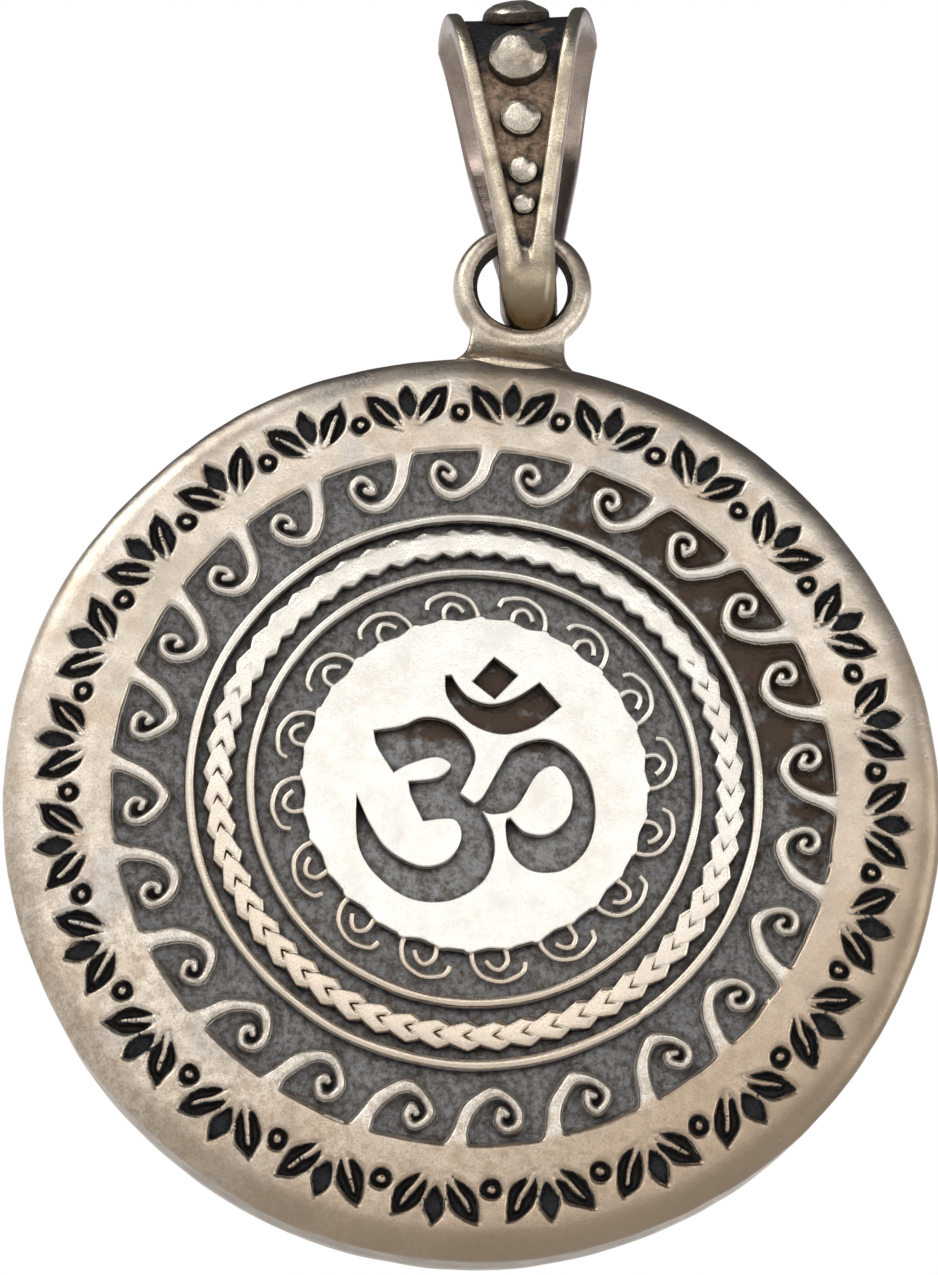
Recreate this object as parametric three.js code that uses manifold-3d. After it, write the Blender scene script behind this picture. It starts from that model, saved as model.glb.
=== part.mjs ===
// A cast silver pendant: a round medallion with the om sign, a soldered hanging ring and a loose bail.
// Millimetres. +Z is up, the medallion faces -Y, and the origin is the chain's seat inside the bail.
import * as THREE from 'three';
import { mergeVertices } from 'three/addons/utils/BufferGeometryUtils.js';
import Module from 'manifold-3d';

const wasm = await Module();
wasm.setup();

// Medallion: widths of its zones, from the middle outwards.
const BOSS_RADIUS = 6.61;
const LACE_WIDTH = 1.79;
const INNER_WIRE_WIDTH = 0.35;
const INNER_GAP = 0.49;
const PLAIT_WIDTH = 1.14;
const OUTER_GAP = 0.32;
const OUTER_WIRE_WIDTH = 0.38;
const WAVE_WIDTH = 2.77;
const SMOOTH_BAND_WIDTH = 0.95;
const ORNAMENT_WIDTH = 2.0;
const RIM_WIDTH = 1.2;

// Medallion: heights and depths. The polished front is level 0.
const MEDALLION_THICKNESS = 3.2;
const RIM_FALL = 0.6;
const BACK_EDGE_RADIUS = 0.25;
const RECESS_DEPTH = 0.65;
const ORNAMENT_DEPTH = 0.45;
const WIRE_HEIGHT = 0.74;
const WIRE_SHOULDER_HEIGHT = 0.55;
const BOSS_HEIGHT = 0.7;
const BOSS_BEVEL = 0.08;
const SIGN_DEPTH = 0.5;
const MEDALLION_SIDES = 84;
const BOSS_SIDES = 60;

// Running waves that grow from the wall of the recess.
const WAVE_COUNT = 24;
const FIRST_WAVE_ANGLE = 12;
const WAVE_CLEARANCE = 0.6;
const WAVE_STEM_WIDTH = 0.56;
const WAVE_CURL_WIDTH = 0.31;
const WAVE_ROOT_WIDTH = 1.0;

// Small hooked scrolls round the boss.
const LACE_COUNT = 16;
const FIRST_LACE_ANGLE = 9.4;
const LACE_LINE_WIDTH = 0.24;
const LACE_CLEARANCE = 0.52;
const LACE_HEIGHT = 0.5;

// Plait of overlapping chevrons.
const CHEVRON_COUNT = 56;
const CHEVRON_LEAD = 0.55;
const CHEVRON_RISE = 0.32;
const PLAIT_RIDGE_HEIGHT = 0.97;
const PLAIT_VALLEY_HEIGHT = 0.78;
const PLAIT_EDGE_HEIGHT = 0.62;
const PLAIT_NOTCH = 0.26;

// Leaf ornament cut into the outer band.
const LEAF_GROUP_COUNT = 24;
const LEAF_LENGTH = 2.1;
const LEAF_BREADTH = 1.0;
const LEAF_TILT = 38;
const LEAF_SPREAD = 0.98;
const BUD_LENGTH = 1.5;
const BUD_BREADTH = 0.78;
const BUD_OFFSET = 0.28;
const BEAD_DIAMETER = 0.78;
const BEAD_OFFSET = -0.35;

// Hanging ring, soldered on the top edge of the medallion.
const RING_OUTER_DIAMETER = 5.76;
const RING_WIRE_DIAMETER = 1.04;
const RING_SETBACK = 1.3;
const RING_RISE = 0.78;
const NECK_FOOT_WIDTH = 4.6;
const NECK_WAIST_WIDTH = 3.9;
const NECK_THICKNESS = 1.3;
const NECK_FLARE_SHARE = 0.45;
const NECK_FOOT_EDGE = 0.2;

// Bail: one strap bent to a drop, wide at the crown and narrow at the bend.
const STRAP_THICKNESS = 0.88;
const BAIL_HEIGHT = 15.54;
const CROWN_RADIUS = 4.2;
const BEND_RADIUS = 1.76;
const CROWN_WIDTH = 6.95;
const BEND_WIDTH = 2.34;
const TAPER_LENGTH = 15.1;
const CROWN_EDGE_RADIUS = 0.14;
const BEND_EDGE_RADIUS = 0.75;
const INNER_EDGE_RADIUS = 0.25;
const CROWN_STEPS = 9;
const BEND_STEPS = 7;

// Sunk channel of the strap, with its row of granules. Places are lengths from the crown's top.
const RAIL_WIDTH = 0.5;
const CHANNEL_DEPTH = 0.32;
const CHANNEL_LENGTH = 16.2;
const CHANNEL_END_WIDTH = 0.65;
const CREASE_WIDTH = 0.1;
const CREASE_DEPTH = 0.05;
const WORN_SHARE = 0.85;
const GRANULE_SIDES = 10;
const GRANULES = [
  { place: 3.3, diameter: 2.9, height: 0.66 },
  { place: 7.25, diameter: 2.5, height: 0.86 },
  { place: 10.05, diameter: 1.75, height: 0.62 },
  { place: 12.4, diameter: 1.3, height: 0.48 },
  { place: 13.95, diameter: 0.98, height: 0.38 },
];

// How the bail lies in the ring, in degrees, and where the ring's top wire passes through it.
// The clearance is the gap that is left between the bail's bend and the foot of the ring's bore.
const BAIL_PITCH = -11.9;
const BAIL_LEAN = -6.2;
const BAIL_YAW = -4.7;
const BEND_CLEARANCE = 0.25;
const WIRE_FORWARD = 0.4;
const WIRE_OFF_CENTRE = 0.06;

// Radii that follow from the widths.
const innerWireRadius = BOSS_RADIUS + LACE_WIDTH;
const plaitRadius = innerWireRadius + INNER_WIRE_WIDTH + INNER_GAP;
const outerWireRadius = plaitRadius + PLAIT_WIDTH + OUTER_GAP;
const waveRadius = outerWireRadius + OUTER_WIRE_WIDTH;
const recessRadius = waveRadius + WAVE_WIDTH;
const ornamentRadius = recessRadius + SMOOTH_BAND_WIDTH;
const rimRadius = ornamentRadius + ORNAMENT_WIDTH;
const medallionRadius = rimRadius + RIM_WIDTH;

const ringRadius = (RING_OUTER_DIAMETER - RING_WIRE_DIAMETER) / 2;
const wireAboveBend = RING_OUTER_DIAMETER - 1.5 * RING_WIRE_DIAMETER - BEND_CLEARANCE;
const ringCentreHeight = medallionRadius + RING_RISE + RING_OUTER_DIAMETER / 2;
const neckSeatHeight = Math.sqrt(medallionRadius ** 2 - (NECK_FOOT_WIDTH / 2) ** 2);

const degrees = THREE.MathUtils.degToRad;

// Solids

function solidOf(geometry) {
  const bare = geometry.clone();
  bare.deleteAttribute('normal');
  bare.deleteAttribute('uv');
  const merged = mergeVertices(bare, 1e-4);
  return new wasm.Manifold(new wasm.Mesh({
    numProp: 3,
    vertProperties: new Float32Array(merged.attributes.position.array),
    triVerts: new Uint32Array(merged.index.array),
  }));
}

function geometryOf(solid) {
  const { vertProperties, triVerts } = solid.getMesh();
  const geometry = new THREE.BufferGeometry();
  geometry.setAttribute('position', new THREE.BufferAttribute(vertProperties, 3));
  geometry.setIndex(new THREE.BufferAttribute(triVerts, 1));
  geometry.computeVertexNormals();
  return geometry;
}

function fuse(geometries) {
  return wasm.Manifold.union(geometries.map(solidOf));
}

// Joins rings of points, each with the same number of points, into one closed skin.
function loft(rings, closed) {
  const count = rings[0].length;
  const positions = rings.flat().flatMap((point) => [point.x, point.y, point.z]);
  const faces = [];
  const links = closed ? rings.length : rings.length - 1;
  for (let i = 0; i < links; i++) {
    const near = i * count;
    const far = ((i + 1) % rings.length) * count;
    for (let j = 0; j < count; j++) {
      const next = (j + 1) % count;
      faces.push(near + j, near + next, far + next, near + j, far + next, far + j);
    }
  }
  if (!closed) {
    const last = (rings.length - 1) * count;
    for (let j = 1; j < count - 1; j++) {
      faces.push(0, j + 1, j, last, last + j, last + j + 1);
    }
  }
  const geometry = new THREE.BufferGeometry();
  geometry.setAttribute('position', new THREE.Float32BufferAttribute(positions, 3));
  geometry.setIndex(faces);
  return geometry;
}

// A turned piece about the medallion's axis, from points of radius and level.
function turned(profile, sides) {
  const points = profile.map(([radius, level]) => new THREE.Vector2(radius, level));
  return new THREE.LatheGeometry(points, sides).rotateX(Math.PI / 2);
}

// A flat shape given thickness between two levels.
function slab(shape, bottom, top, curveSegments = 1) {
  const options = { depth: top - bottom, bevelEnabled: false, curveSegments };
  return new THREE.ExtrudeGeometry(shape, options).translate(0, 0, bottom);
}

// Materials

function silver(name, color, roughness) {
  return new THREE.MeshStandardMaterial({ name, color, roughness, metalness: 1 });
}

const medallionSilver = () => silver('medallion_silver', '#c9bfae', 0.34);
const wireSilver = () => silver('wire_silver', '#d2c9ba', 0.3);
const bossSilver = () => silver('boss_silver', '#e6dfd3', 0.26);
const ringSilver = () => silver('ring_silver', '#bdb09c', 0.38);
const strapSilver = () => silver('strap_silver', '#b3a893', 0.36);
const granuleSilver = () => silver('granule_silver', '#d8cfbf', 0.32);

function piece(name, geometry, material) {
  const mesh = new THREE.Mesh(geometry, material);
  mesh.name = name;
  return mesh;
}

// Drawing aids. Angles on the medallion run clockwise from the top, in degrees.

function onFace(angle, radius) {
  return new THREE.Vector2(radius * Math.sin(degrees(angle)), radius * Math.cos(degrees(angle)));
}

// A point given by its length along the circle of a radius, and its height above that circle.
function besideCircle(angle, radius, along, above) {
  return onFace(angle + THREE.MathUtils.radToDeg(along / radius), radius + above);
}

// A line of changing width along a spline.
function ribbon(points, widths, steps) {
  const path = new THREE.SplineCurve(points);
  const left = [];
  const right = [];
  for (let i = 0; i <= steps; i++) {
    const place = i / steps;
    const point = path.getPoint(place);
    const tangent = path.getTangent(place);
    const index = Math.min(Math.floor(place * (widths.length - 1)), widths.length - 2);
    const share = place * (widths.length - 1) - index;
    const half = THREE.MathUtils.lerp(widths[index], widths[index + 1], share) / 2;
    left.push(new THREE.Vector2(point.x - tangent.y * half, point.y + tangent.x * half));
    right.push(new THREE.Vector2(point.x + tangent.y * half, point.y - tangent.x * half));
  }
  return new THREE.Shape([...left, ...right.reverse()]);
}

// A leaf, pointed at both ends.
function leaf(middle, direction, length, breadth, steps) {
  const outline = [];
  for (const side of [1, -1]) {
    for (let i = 0; i < steps; i++) {
      const along = side * (0.5 - i / steps) * length;
      const across = side * 0.5 * breadth * Math.cos((Math.PI * along) / length);
      outline.push(new THREE.Vector2(along, across).rotateAround(new THREE.Vector2(), direction).add(middle));
    }
  }
  return new THREE.Shape(outline);
}

// Medallion

function medallionBlank() {
  const bottom = -MEDALLION_THICKNESS;
  const profile = [[0, bottom], [medallionRadius - BACK_EDGE_RADIUS, bottom]];
  profile.push([medallionRadius, bottom + BACK_EDGE_RADIUS]);
  const rimSteps = 3;
  for (let i = 0; i <= rimSteps; i++) {
    const turn = (i / rimSteps) * (Math.PI / 2);
    profile.push([rimRadius + RIM_WIDTH * Math.cos(turn), RIM_FALL * (Math.sin(turn) - 1)]);
  }
  profile.push([recessRadius, 0], [recessRadius, -RECESS_DEPTH], [0, -RECESS_DEPTH]);
  return solidOf(turned(profile, MEDALLION_SIDES));
}

// One wave: its stem leaves the wall, dips, turns back and curls in on itself.
function wave(angle) {
  const reach = WAVE_WIDTH - WAVE_CLEARANCE;
  const route = [
    [0.12, 0.12],
    [-0.02, -0.22],
    [-0.3, -0.55],
    [-0.82, -0.8],
    [-1.4, -0.895],
    [-2.02, -0.78],
    [-2.34, -0.52],
    [-2.22, -0.33],
    [-1.78, -0.27],
    [-1.5, -0.41],
    [-1.62, -0.53],
  ];
  const points = route.map(([along, dip]) => besideCircle(angle, recessRadius, along, dip * reach));
  const middle = (WAVE_STEM_WIDTH + WAVE_CURL_WIDTH) / 2;
  const widths = [
    WAVE_ROOT_WIDTH, WAVE_STEM_WIDTH, WAVE_STEM_WIDTH, middle, middle,
    WAVE_CURL_WIDTH, WAVE_CURL_WIDTH, WAVE_CURL_WIDTH, WAVE_CURL_WIDTH, WAVE_CURL_WIDTH,
  ];
  return slab(ribbon(points, widths, 12), -RECESS_DEPTH, 0);
}

// Pockets of one group: two leaves that lean apart, a bud between them and a bead beside them.
function leafGroup(angle) {
  const radius = ornamentRadius + ORNAMENT_WIDTH / 2;
  const place = (along, above) => besideCircle(angle, radius, along, above);
  const turn = (tilt) => Math.PI / 2 - degrees(angle + tilt);
  const halfPitch = (Math.PI * radius) / LEAF_GROUP_COUNT;
  const shapes = [
    leaf(place(-LEAF_SPREAD, 0), turn(-LEAF_TILT), LEAF_LENGTH, LEAF_BREADTH, 4),
    leaf(place(LEAF_SPREAD, 0), turn(LEAF_TILT), LEAF_LENGTH, LEAF_BREADTH, 4),
    leaf(place(0, BUD_OFFSET), turn(0), BUD_LENGTH, BUD_BREADTH, 3),
  ];
  const bead = new THREE.Shape();
  const middle = place(halfPitch, BEAD_OFFSET);
  bead.absarc(middle.x, middle.y, BEAD_DIAMETER / 2, 0, 2 * Math.PI);
  const pockets = shapes.map((shape) => slab(shape, -ORNAMENT_DEPTH, 1));
  pockets.push(slab(bead, -ORNAMENT_DEPTH, 1, 3));
  return pockets;
}

function around(count, first, make) {
  return Array.from({ length: count }, (_, i) => make(first + (i * 360) / count));
}

function neckSeatCut() {
  const height = medallionRadius - neckSeatHeight + 1;
  const box = new THREE.BoxGeometry(medallionRadius, height, 2 * MEDALLION_THICKNESS + 2);
  return solidOf(box.translate(0, neckSeatHeight + height / 2, 0));
}

function medallionBody() {
  const waves = fuse(around(WAVE_COUNT, FIRST_WAVE_ANGLE, wave));
  const pockets = fuse(around(LEAF_GROUP_COUNT, 0, leafGroup).flat());
  const body = medallionBlank().add(waves).subtract(pockets).subtract(neckSeatCut());
  return piece('medallion_body', geometryOf(body), medallionSilver());
}

function borderWire(name, innerRadius, width) {
  const floor = -RECESS_DEPTH;
  const profile = [
    [innerRadius, floor],
    [innerRadius + width, floor],
    [innerRadius + width, floor + WIRE_SHOULDER_HEIGHT],
    [innerRadius + width / 2, floor + WIRE_HEIGHT],
    [innerRadius, floor + WIRE_SHOULDER_HEIGHT],
    [innerRadius, floor],
  ];
  return piece(name, geometryOf(solidOf(turned(profile, BOSS_SIDES))), wireSilver());
}

// Each chevron rises steeply and falls slowly, and its point leads clockwise.
function plaitedRing() {
  const pitch = 360 / CHEVRON_COUNT;
  const lead = CHEVRON_LEAD * pitch;
  const floor = -RECESS_DEPTH;
  const outer = plaitRadius + PLAIT_WIDTH;
  const middle = plaitRadius + PLAIT_WIDTH / 2;
  const rings = [];
  for (let i = 0; i < CHEVRON_COUNT; i++) {
    for (const ridge of [false, true]) {
      const angle = (i + (ridge ? CHEVRON_RISE : 0)) * pitch;
      const notch = ridge ? 0 : PLAIT_NOTCH;
      const top = floor + (ridge ? PLAIT_RIDGE_HEIGHT : PLAIT_VALLEY_HEIGHT);
      const edge = floor + PLAIT_EDGE_HEIGHT;
      const section = [
        [angle, outer - notch, floor],
        [angle, outer - notch, edge],
        [angle + lead, middle, top],
        [angle, plaitRadius + notch, edge],
        [angle, plaitRadius + notch, floor],
      ];
      rings.push(section.map(([turn, radius, level]) => {
        const point = onFace(turn, radius);
        return new THREE.Vector3(point.x, point.y, level);
      }));
    }
  }
  return piece('plaited_ring', geometryOf(solidOf(loft(rings, true))), wireSilver());
}

// A small scroll: a hooped line that lands on the boss, and a hook that rises inside it.
function laceScroll(angle) {
  const reach = LACE_WIDTH - LACE_CLEARANCE;
  const place = ([along, rise]) => besideCircle(angle, BOSS_RADIUS, along, rise * reach);
  const hoop = [[-0.84, 0.5], [-0.66, 0.78], [0, 0.93], [0.66, 0.72], [0.98, 0.3], [1.02, -0.1]];
  const hook = [[-0.24, -0.1], [-0.25, 0.34], [0.02, 0.56], [0.3, 0.48], [0.5, 0.27]];
  const top = LACE_HEIGHT - RECESS_DEPTH;
  return [
    slab(ribbon(hoop.map(place), [LACE_LINE_WIDTH, LACE_LINE_WIDTH], 5), -RECESS_DEPTH, top),
    slab(ribbon(hook.map(place), [LACE_LINE_WIDTH, LACE_LINE_WIDTH], 4), -RECESS_DEPTH, top),
  ];
}

// The sign's outlines: runs from one corner to the next, drawn as splines.
const SIGN_DIAMOND = [
  [[0.27, 5.04], [1.25, 4.4]],
  [[1.25, 4.4], [0.46, 3.36]],
  [[0.46, 3.36], [-0.46, 3.98]],
  [[-0.46, 3.98], [0.27, 5.04]],
];
const SIGN_CRESCENT = [
  [[-1.54, 4.08], [-1.31, 4.13]],
  [[-1.31, 4.13], [-1.0, 3.69], [-0.58, 3.31], [0, 3.12], [0.5, 3.14], [1.04, 3.35], [1.54, 3.69], [2.12, 4.19]],
  [[2.12, 4.19], [3.02, 3.31]],
  [[3.02, 3.31], [2.0, 2.38], [0.81, 1.98], [-0.42, 2.31], [-1.35, 3.23], [-1.54, 4.08]],
];
const SIGN_BODY = [
  [[-4.05, 1.58], [-3.0, 1.88], [-2.19, 2.31], [-1.19, 2.23], [-0.42, 1.62], [-0.09, 0.77], [-0.54, -0.58]],
  [[-0.54, -0.58], [0.04, -0.92]],
  [[0.04, -0.92], [0.35, -0.62], [0.85, 0.54], [1.35, 1.46], [2.5, 1.92], [3.5, 1.54], [4.35, 0.46],
    [4.67, -1.0], [4.42, -2.31], [3.58, -3.15], [2.42, -3.27], [1.58, -2.62], [1.31, -1.58], [1.46, -1.35]],
  [[1.46, -1.35], [2.08, -1.85], [3.0, -1.81], [3.69, -1.0], [3.69, 0.15], [3.04, 0.91], [2.35, 0.54],
    [1.65, -0.85], [0.88, -1.21], [0.35, -1.15]],
  [[0.35, -1.15], [0.85, -2.0], [0.96, -3.0], [0.58, -4.0], [-0.58, -4.77], [-2.04, -4.81], [-3.42, -4.0],
    [-4.19, -2.85], [-4.44, -1.04]],
  [[-4.44, -1.04], [-3.81, -2.15], [-3.0, -3.08], [-1.73, -3.58], [-0.73, -3.23], [-0.31, -2.31],
    [-0.65, -1.58], [-1.81, -1.77]],
  [[-1.81, -1.77], [-2.35, -0.85], [-2.52, -0.31]],
  [[-2.52, -0.31], [-1.42, -0.04], [-0.98, 0.54], [-1.58, 0.81], [-2.58, 0.42], [-3.12, 0.02]],
  [[-3.12, 0.02], [-3.85, 1.0], [-4.05, 1.58]],
];

function signPocket(runs) {
  const outline = runs.flatMap((run) => {
    const points = run.map(([x, y]) => new THREE.Vector2(x, y));
    const steps = points.length > 2 ? 2 * (points.length - 1) : 1;
    return new THREE.SplineCurve(points).getPoints(steps).slice(0, -1);
  });
  const top = BOSS_HEIGHT - RECESS_DEPTH;
  return slab(new THREE.Shape(outline), top - SIGN_DEPTH, top + 1);
}

function centerBoss() {
  const floor = -RECESS_DEPTH;
  const top = floor + BOSS_HEIGHT;
  const inner = BOSS_RADIUS - BOSS_BEVEL;
  const profile = [[0, floor], [BOSS_RADIUS, floor], [BOSS_RADIUS, top - BOSS_BEVEL], [inner, top], [0, top]];
  const lace = fuse(around(LACE_COUNT, FIRST_LACE_ANGLE, laceScroll).flat());
  const sign = fuse([SIGN_DIAMOND, SIGN_CRESCENT, SIGN_BODY].map(signPocket));
  const boss = solidOf(turned(profile, BOSS_SIDES)).add(lace).subtract(sign);
  return piece('center_boss', geometryOf(boss), bossSilver());
}

// The ring stands on a broad soldered neck that fills the space under its wire.
function hangingRing() {
  const ring = new THREE.TorusGeometry(ringRadius, RING_WIRE_DIAMETER / 2, 10, 36);
  ring.translate(0, ringCentreHeight, -RING_SETBACK);
  const foot = NECK_FOOT_WIDTH / 2;
  const waist = NECK_WAIST_WIDTH / 2;
  const bore = ringRadius - RING_WIRE_DIAMETER / 2;
  const shoulder = ringCentreHeight - Math.sqrt(ringRadius ** 2 - waist ** 2);
  const flare = neckSeatHeight + (shoulder - neckSeatHeight) * NECK_FLARE_SHARE;
  const outline = new THREE.Shape();
  outline.moveTo(-foot, neckSeatHeight);
  outline.lineTo(foot, neckSeatHeight);
  outline.quadraticCurveTo(waist, neckSeatHeight + NECK_FOOT_EDGE, waist, flare);
  outline.lineTo(waist, shoulder);
  const half = Math.asin(waist / ringRadius);
  outline.absarc(0, ringCentreHeight, ringRadius, half - Math.PI / 2, -half - Math.PI / 2, true);
  outline.lineTo(-waist, flare);
  outline.quadraticCurveTo(-waist, neckSeatHeight + NECK_FOOT_EDGE, -foot, neckSeatHeight);
  const neck = slab(outline, -NECK_THICKNESS / 2, NECK_THICKNESS / 2, 5).translate(0, 0, -RING_SETBACK);
  const drill = new THREE.CylinderGeometry(bore, bore, 2 * NECK_THICKNESS, 36).rotateX(Math.PI / 2);
  drill.translate(0, ringCentreHeight, -RING_SETBACK);
  const solid = fuse([ring, neck]).subtract(solidOf(drill));
  return piece('hanging_ring', geometryOf(solid), ringSilver());
}

// Bail. Its own frame has the strap's width along X, its depth along Y and its height along Z.

const crownCentre = STRAP_THICKNESS - CROWN_RADIUS;
const bendCentre = STRAP_THICKNESS - BAIL_HEIGHT + BEND_RADIUS;
const legTilt = Math.asin((CROWN_RADIUS - BEND_RADIUS) / (crownCentre - bendCentre));
const crownLength = CROWN_RADIUS * (Math.PI / 2 + legTilt);
const legLength = (crownCentre - bendCentre) * Math.cos(legTilt);
const bendLength = BEND_RADIUS * (Math.PI / 2 - legTilt);

// Where the strap's outer face is at a length from the crown's top, and which way it looks.
// Lengths count down the front leg, and below zero down the rear leg.
function strapAt(length) {
  const run = Math.abs(length);
  const side = Math.sign(length) || 1;
  const facing = (turn) => new THREE.Vector3(0, -side * Math.sin(turn), Math.cos(turn));
  const turnOfLeg = Math.PI / 2 + legTilt;
  if (run <= crownLength) {
    const normal = facing(run / CROWN_RADIUS);
    return { normal, point: normal.clone().multiplyScalar(CROWN_RADIUS).setZ(normal.z * CROWN_RADIUS + crownCentre) };
  }
  if (run <= crownLength + legLength) {
    const normal = facing(turnOfLeg);
    const down = new THREE.Vector3(0, -side * Math.cos(turnOfLeg), -Math.sin(turnOfLeg));
    const start = normal.clone().multiplyScalar(CROWN_RADIUS).add(new THREE.Vector3(0, 0, crownCentre));
    return { normal, point: start.addScaledVector(down, run - crownLength) };
  }
  const normal = facing(turnOfLeg + (run - crownLength - legLength) / BEND_RADIUS);
  return { normal, point: normal.clone().multiplyScalar(BEND_RADIUS).add(new THREE.Vector3(0, 0, bendCentre)) };
}

function strapWidth(length) {
  return THREE.MathUtils.lerp(CROWN_WIDTH, BEND_WIDTH, Math.min(Math.abs(length) / TAPER_LENGTH, 1));
}

function strapEdgeRadius(length) {
  const share = THREE.MathUtils.smoothstep(Math.abs(length), crownLength, crownLength + legLength + bendLength);
  return THREE.MathUtils.lerp(CROWN_EDGE_RADIUS, BEND_EDGE_RADIUS, share);
}

// Section points are pairs: across the strap, and outwards from its outer face.
function strapRing(length, section) {
  const { point, normal } = strapAt(length);
  return section.map(([across, out]) => {
    const corner = point.clone().addScaledVector(normal, out);
    return corner.setX(across);
  });
}

function strapSection(length) {
  const half = strapWidth(length) / 2;
  const round = strapEdgeRadius(length);
  const soft = (1 - Math.SQRT1_2) * round;
  const inner = Math.min(round, INNER_EDGE_RADIUS);
  return [
    [-half, -round],
    [-half, -STRAP_THICKNESS + inner],
    [-half + inner, -STRAP_THICKNESS],
    [half - inner, -STRAP_THICKNESS],
    [half, -STRAP_THICKNESS + inner],
    [half, -round],
    [half - soft, -soft],
    [half - round, 0],
    [-half + round, 0],
    [-half + soft, -soft],
  ];
}

// Lengths of the strap's stations down one side, from the crown's top to the end of a run.
function stations(end) {
  const places = [0];
  for (let i = 1; i <= CROWN_STEPS; i++) places.push((i / CROWN_STEPS) * crownLength);
  places.push(TAPER_LENGTH);
  for (let i = 0; i <= BEND_STEPS; i++) places.push(crownLength + legLength + (i / BEND_STEPS) * bendLength);
  const ordered = places.filter((place) => place < end - 0.05).sort((a, b) => a - b);
  return [...ordered, end];
}

function strapBlank() {
  const front = stations(crownLength + legLength + bendLength);
  const rear = front.slice(1, -1).map((place) => -place).reverse();
  return loft([...front, ...rear.slice().sort((a, b) => a - b)].map((at) => strapRing(at, strapSection(at))), true);
}

function channelCut() {
  const front = stations(CHANNEL_LENGTH);
  const all = [...front.slice(1).map((place) => -place).reverse(), ...front];
  const rings = all.map((at) => {
    const start = CROWN_WIDTH / 2 - RAIL_WIDTH;
    const half = THREE.MathUtils.lerp(start, CHANNEL_END_WIDTH / 2, Math.abs(at) / CHANNEL_LENGTH);
    return strapRing(at, [[-half, 0.5], [-half, -CHANNEL_DEPTH], [half, -CHANNEL_DEPTH], [half, 0.5]]);
  });
  return loft(rings, false);
}

// How far the channel's floor falls away from its tangent under a granule's edge.
function floorSag(place, radius) {
  const { point, normal } = strapAt(place);
  const drops = [-radius, radius].map((step) => {
    const edge = strapAt(place + step);
    const floor = edge.point.addScaledVector(edge.normal, -CHANNEL_DEPTH);
    return point.clone().addScaledVector(normal, -CHANNEL_DEPTH).sub(floor).dot(normal);
  });
  return Math.max(0, ...drops);
}

// A frame on a granule's flat seat, with Z outwards.
function seatFrame({ place, diameter }) {
  const { point, normal } = strapAt(place);
  const depth = CHANNEL_DEPTH + floorSag(place, diameter / 2) + CREASE_DEPTH;
  const across = new THREE.Vector3(1, 0, 0);
  const along = new THREE.Vector3().crossVectors(normal, across);
  const frame = new THREE.Matrix4().makeBasis(across, along, normal);
  return frame.setPosition(point.clone().addScaledVector(normal, -depth));
}

function seatCut(granule) {
  const radius = granule.diameter / 2 + CREASE_WIDTH;
  const pocket = new THREE.CylinderGeometry(radius, radius, 1, GRANULE_SIDES).rotateX(Math.PI / 2);
  return pocket.translate(0, 0, 0.5).applyMatrix4(seatFrame(granule));
}

const granuleRow = [
  ...GRANULES.map((granule, i) => ({ ...granule, name: `front_granule_${i + 1}` })),
  ...GRANULES.map((granule, i) => ({ ...granule, name: `rear_granule_${i + 1}`, place: -granule.place })),
];

function bailStrap() {
  const cuts = fuse([channelCut(), ...granuleRow.map(seatCut)]);
  return piece('bail_strap', geometryOf(solidOf(strapBlank()).subtract(cuts)), strapSilver());
}

// A half ball with a flat foot, worn flat on top.
function granule(spec) {
  const radius = spec.diameter / 2;
  const sag = floorSag(spec.place, radius) + CREASE_DEPTH;
  const top = sag + spec.height;
  const worn = Math.asin(Math.min(spec.height / radius, 0.95));
  const profile = [[0, 0], [radius, 0], [radius, sag]];
  for (const turn of [worn / 2, worn * WORN_SHARE]) {
    profile.push([radius * Math.cos(turn), sag + radius * Math.sin(turn)]);
  }
  profile.push([radius * Math.cos(worn) * WORN_SHARE, top], [0, top]);
  const dome = turned(profile, GRANULE_SIDES).applyMatrix4(seatFrame(spec));
  return piece(spec.name, geometryOf(solidOf(dome)), granuleSilver());
}

// Assembly

function bail() {
  const group = new THREE.Group();
  group.add(bailStrap(), ...granuleRow.map(granule));
  group.rotation.set(degrees(BAIL_PITCH), degrees(BAIL_LEAN), degrees(BAIL_YAW), 'YXZ');
  group.updateMatrixWorld();
  return group;
}

// The ring's top wire passes through the bail above its bend, and the medallion hangs from it.
function wirePlace(bailGroup) {
  const height = STRAP_THICKNESS - BAIL_HEIGHT + wireAboveBend;
  return new THREE.Vector3(0, -WIRE_FORWARD, height).applyMatrix4(bailGroup.matrixWorld);
}

function medallion(wire) {
  const group = new THREE.Group();
  group.add(
    medallionBody(),
    borderWire('outer_border_wire', outerWireRadius, OUTER_WIRE_WIDTH),
    plaitedRing(),
    borderWire('inner_border_wire', innerWireRadius, INNER_WIRE_WIDTH),
    centerBoss(),
    hangingRing(),
  );
  group.rotation.x = Math.PI / 2;
  const wireHeight = ringCentreHeight + ringRadius;
  group.position.set(wire.x + WIRE_OFF_CENTRE, wire.y - RING_SETBACK, wire.z - wireHeight);
  return group;
}

const pendant = new THREE.Group();
const bailGroup = bail();
pendant.add(bailGroup, medallion(wirePlace(bailGroup)));
pendant.updateMatrixWorld(true);

export default pendant;
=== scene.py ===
"""Dresses the om pendant's solids: cast relief, plait, boss, ring, bail, granules and silver finishes."""

import math

import bmesh
import bpy
import numpy as np
from bpy.props import FloatProperty, FloatVectorProperty, IntProperty, PointerProperty
from mathutils import Matrix, Vector


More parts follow.
